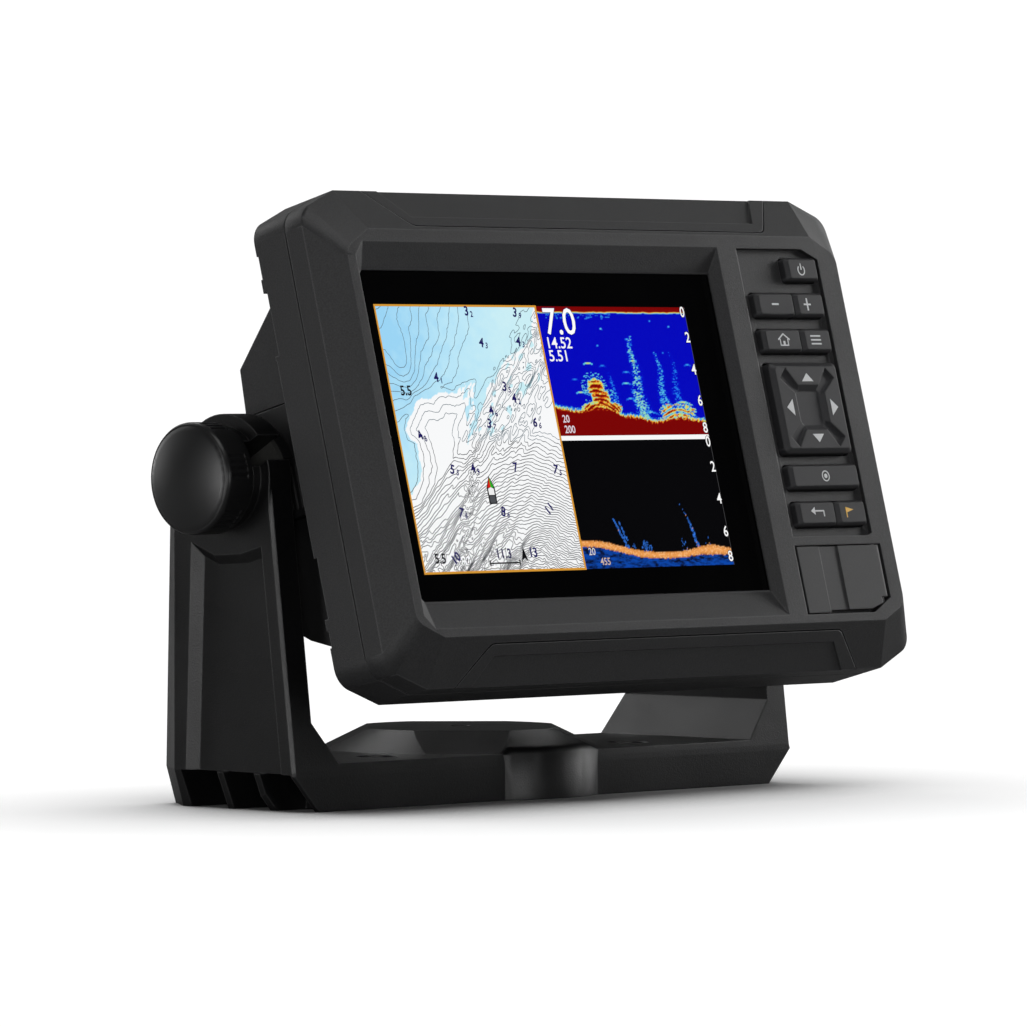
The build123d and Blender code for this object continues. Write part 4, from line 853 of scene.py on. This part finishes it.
def stroke(points, width):
    """Band along a line of points, each piece run on a little to close the corners."""
    pieces = []
    for (x0, y0), (x1, y1) in zip(points[:-1], points[1:]):
        length = math.hypot(x1 - x0, y1 - y0)
        along_x, along_y = (x1 - x0) / length * width, (y1 - y0) / length * width
        side_x, side_y = -along_y / 2, along_x / 2
        x0, y0 = x0 - along_x * 0.4, y0 - along_y * 0.4
        x1, y1 = x1 + along_x * 0.4, y1 + along_y * 0.4
        pieces.append([(x0 - side_x, y0 - side_y), (x1 - side_x, y1 - side_y),
                       (x1 + side_x, y1 + side_y), (x0 + side_x, y0 + side_y)])
    return pieces


SELECT_X, SELECT_Y, SELECT_DOT = 65.4, -11.6, 0.58
select_dot = [(SELECT_X + SELECT_DOT * math.cos(t), SELECT_Y + SELECT_DOT * math.sin(t))
              for t in np.linspace(0, 2 * math.pi, 17)[:-1]]
PAD_X, PAD_Y = 65.25, 5.8
# up, down, left and right arrows from the pad's centre
PAD_ARROWS = (
    [(-2.1, 6.6), (2.1, 6.6), (0, 8.7)], [(-2.1, -6.8), (0, -8.9), (2.1, -6.8)],
    [(-7.1, -2.1), (-7.1, 2.1), (-9.6, 0)], [(7.0, -2.1), (9.5, 0), (7.0, 2.1)])

legend("legend_power", "key_power",
       arc_strip(71.6, 41.0, radius=1.2, width=0.32, start=130, end=410, count=22)
       + [bar(71.6, 41.9, 0.36, 1.6)])
legend("legend_minus", "key_zoom_out", [bar(59.3, 32.2, 2.5, 0.48)])
legend("legend_plus", "key_zoom_in",
       [bar(71.3, 32.2, 2.6, 0.42), bar(71.3, 33.1, 0.5, 1.38), bar(71.3, 31.3, 0.5, 1.38)])
legend("legend_home", "key_home",
       stroke([(57.9, 23.2), (59.9, 24.6), (61.9, 23.2)], 0.36)
       + stroke([(58.5, 23.2), (58.5, 21.7), (61.3, 21.7), (61.3, 23.2)], 0.32)
       + [bar(59.9, 22.25, 0.7, 1.1)])
legend("legend_menu", "key_menu", [bar(71.9, y, 3.7, 0.38) for y in (24.1, 23.1, 22.1)])
legend("legend_select", "key_select",
       arc_strip(SELECT_X, SELECT_Y, radius=1.25, width=0.30, start=0, end=360, count=26)
       + [select_dot])
legend("legend_back", "key_back",
       stroke([(62.0, -21.7), (62.0, -20.4), (58.4, -20.4)], 0.36)
       + [[(57.3, -20.4), (58.8, -19.4), (58.8, -21.4)]])
legend("legend_mark", "key_mark",
       [bar(70.5, -20.9, 0.32, 2.6), [(70.65, -19.6), (73.2, -20.25), (70.65, -20.95)]],
       material=AMBER)
legend("legend_arrows", "dpad",
       [[(PAD_X + x, PAD_Y + y) for x, y in arrow] for arrow in PAD_ARROWS], z=PAD_TOP)

# -------------------------------------------------------------------- stage
AMBIENT = 0.016  # world light on the object
BACKDROP = 1.05  # white seen by the camera
# the floor glow fades under occlusion near the object, a painted contact shadow
FLOOR_GLOW = 0.77  # added to the floor where nothing hides it
FLOOR_BOUNCE = 0.30  # floor grey as the object sees it
AIM = (0, -0.02, 0.08)  # m
# name, azimuth, elevation (degrees), distance, width (m), power (W), height (m), other aim.
# Azimuth 0 is in front of the screen and 90 to its right.
LIGHTS = [
    ("key_top", -4, 68, 1.3, 1.2, 6.5, 0.7),
    ("left_strip", -103, 2, 1.1, 0.24, 1.55, 0.34),
    ("left_low", -98, -3, 0.50, 0.08, 0.26, 0.08, (0, -0.02, 0.03)),
    ("rear_strip", -166, 10, 1.3, 0.5, 1.6, 0.5),
    ("back_soft", -170, 36, 1.5, 0.9, 3.3, 0.6),
    ("right_soft", 100, 20, 1.6, 0.8, 1.8, 0.6),
    ("rear_low", 178, 5, 1.4, 0.3, 0.8, 0.2),
    ("rear_high", 150, 40, 1.3, 0.16, 0.75, 0.2),
    ("right_rear", 117, 30, 1.3, 0.3, 0.8, 0.25),
    ("right_strip", 74, 14, 1.2, 0.40, 4.2, 0.6),
    ("low_camera_side", -49, 2, 2.2, 1.0, 9.5, 0.20),
    ("low_front", 0, 2, 1.4, 0.45, 2.1, 0.16),
]


def camera_switch(tree, output, other, camera):
    """Show one shader to the camera and the other to everything else."""
    seen = add_node(tree, "LightPath").outputs["Is Camera Ray"]
    switch = add_node(tree, "MixShader", {0: seen, 1: other.outputs[0], 2: camera.outputs[0]})
    feed(tree, output, {0: switch.outputs[0]})


def floor_material():
    """Diffuse shading near the object plus a glow that occlusion dims into a painted contact shadow,
    melting into a white backdrop further out.
    """
    material = bpy.data.materials.new("studio_floor")
    tree, output = new_tree(material, "OutputMaterial")
    coords = object_coords(tree)
    reach = add_node(tree, "VectorMath", {0: coords}, operation="LENGTH").outputs["Value"]
    far = map_range(tree, reach, source=(0.28, 0.75), target=(0.0, 1.0))
    grain = noise(tree, coords, scale=900.0)
    near = add_node(tree, "BsdfDiffuse", {
        "Color": ramp(tree, grain, (0.3, (0.53, 0.53, 0.53)), (0.7, (0.56, 0.56, 0.56)))})
    # painted contact shadow: occlusion dims the floor's glow where the object is near
    painted_shadow_openness = occlusion(tree, samples=12, distance=0.11)
    glow = add_node(tree, "Emission", {
        "Strength": map_range(tree, painted_shadow_openness, source=(0.35, 1.0), target=(0.0, FLOOR_GLOW))})
    glowing = add_node(tree, "AddShader", {0: near.outputs[0], 1: glow.outputs[0]})
    white = add_node(tree, "Emission", {"Strength": BACKDROP})
    shown = add_node(tree, "MixShader", {0: far, 1: glowing.outputs[0], 2: white.outputs[0]})
    bounce = add_node(tree, "BsdfDiffuse", {
        "Color": (FLOOR_BOUNCE, FLOOR_BOUNCE, FLOOR_BOUNCE, 1)})
    camera_switch(tree, output, other=bounce, camera=shown)
    return material


bpy.ops.mesh.primitive_plane_add(size=80, location=(0, 0, 0))
studio_floor = bpy.context.object
studio_floor.name = "studio_floor"
studio_floor.data.materials.append(floor_material())

world = bpy.data.worlds.new("studio")
scene.world = world
world_tree, world_output = new_tree(world, "OutputWorld")
backdrop = add_node(world_tree, "Background", {0: (1, 1, 1, 1), 1: BACKDROP})
ambient = add_node(world_tree, "Background", {0: (0.97, 0.985, 1, 1), 1: AMBIENT})
camera_switch(world_tree, world_output, other=ambient, camera=backdrop)


def direction(azimuth, elevation):
    """Unit vector towards an azimuth and elevation in radians."""
    return Vector((math.sin(azimuth) * math.cos(elevation),
                   -math.cos(azimuth) * math.cos(elevation), math.sin(elevation)))


def area_light(name, azimuth, elevation, distance, width, power, height, aim=AIM):
    aim = Vector(aim)
    towards = direction(math.radians(azimuth), math.radians(elevation))
    location = aim + towards * distance
    light = bpy.data.lights.new(name, "AREA")
    light.energy = power
    light.shape = "RECTANGLE"
    light.size = width
    light.size_y = height
    light.spread = math.pi
    obj = bpy.data.objects.new(name, light)
    scene.collection.objects.link(obj)
    obj.location = location
    obj.rotation_euler = (aim - location).to_track_quat("-Z", "Y").to_euler()


for row in LIGHTS:
    area_light(*row)

# ------------------------------------------------------------------- camera
CAMERA_AZIMUTH, CAMERA_ELEVATION = math.radians(-46.57), math.radians(1.21)
CAMERA_DISTANCE = 1.75195  # m
CAMERA_AIM = Vector((0, -0.0109, 0.06874))  # m
CAMERA_SHIFT = 0.00526  # m, to the camera's right

camera_data = bpy.data.cameras.new("camera")
camera = bpy.data.objects.new("camera", camera_data)
scene.collection.objects.link(camera)
back = direction(CAMERA_AZIMUTH, CAMERA_ELEVATION)
right = Vector((math.cos(CAMERA_AZIMUTH), math.sin(CAMERA_AZIMUTH), 0))
position = right * CAMERA_SHIFT + CAMERA_AIM + back * CAMERA_DISTANCE
axes = zip(right, back.cross(right), back, position)
camera.matrix_world = Matrix((*axes, (0, 0, 0, 1)))
camera_data.sensor_width = 36.0
camera_data.lens = 250.9617137
camera_data.clip_start = 0.02
camera_data.clip_end = 200
scene.camera = camera

scene.view_settings.view_transform = "Standard"
scene.view_settings.look = "None"
scene.view_settings.exposure = 0.0
scene.view_settings.gamma = 1.0
scene.cycles.use_denoising = True
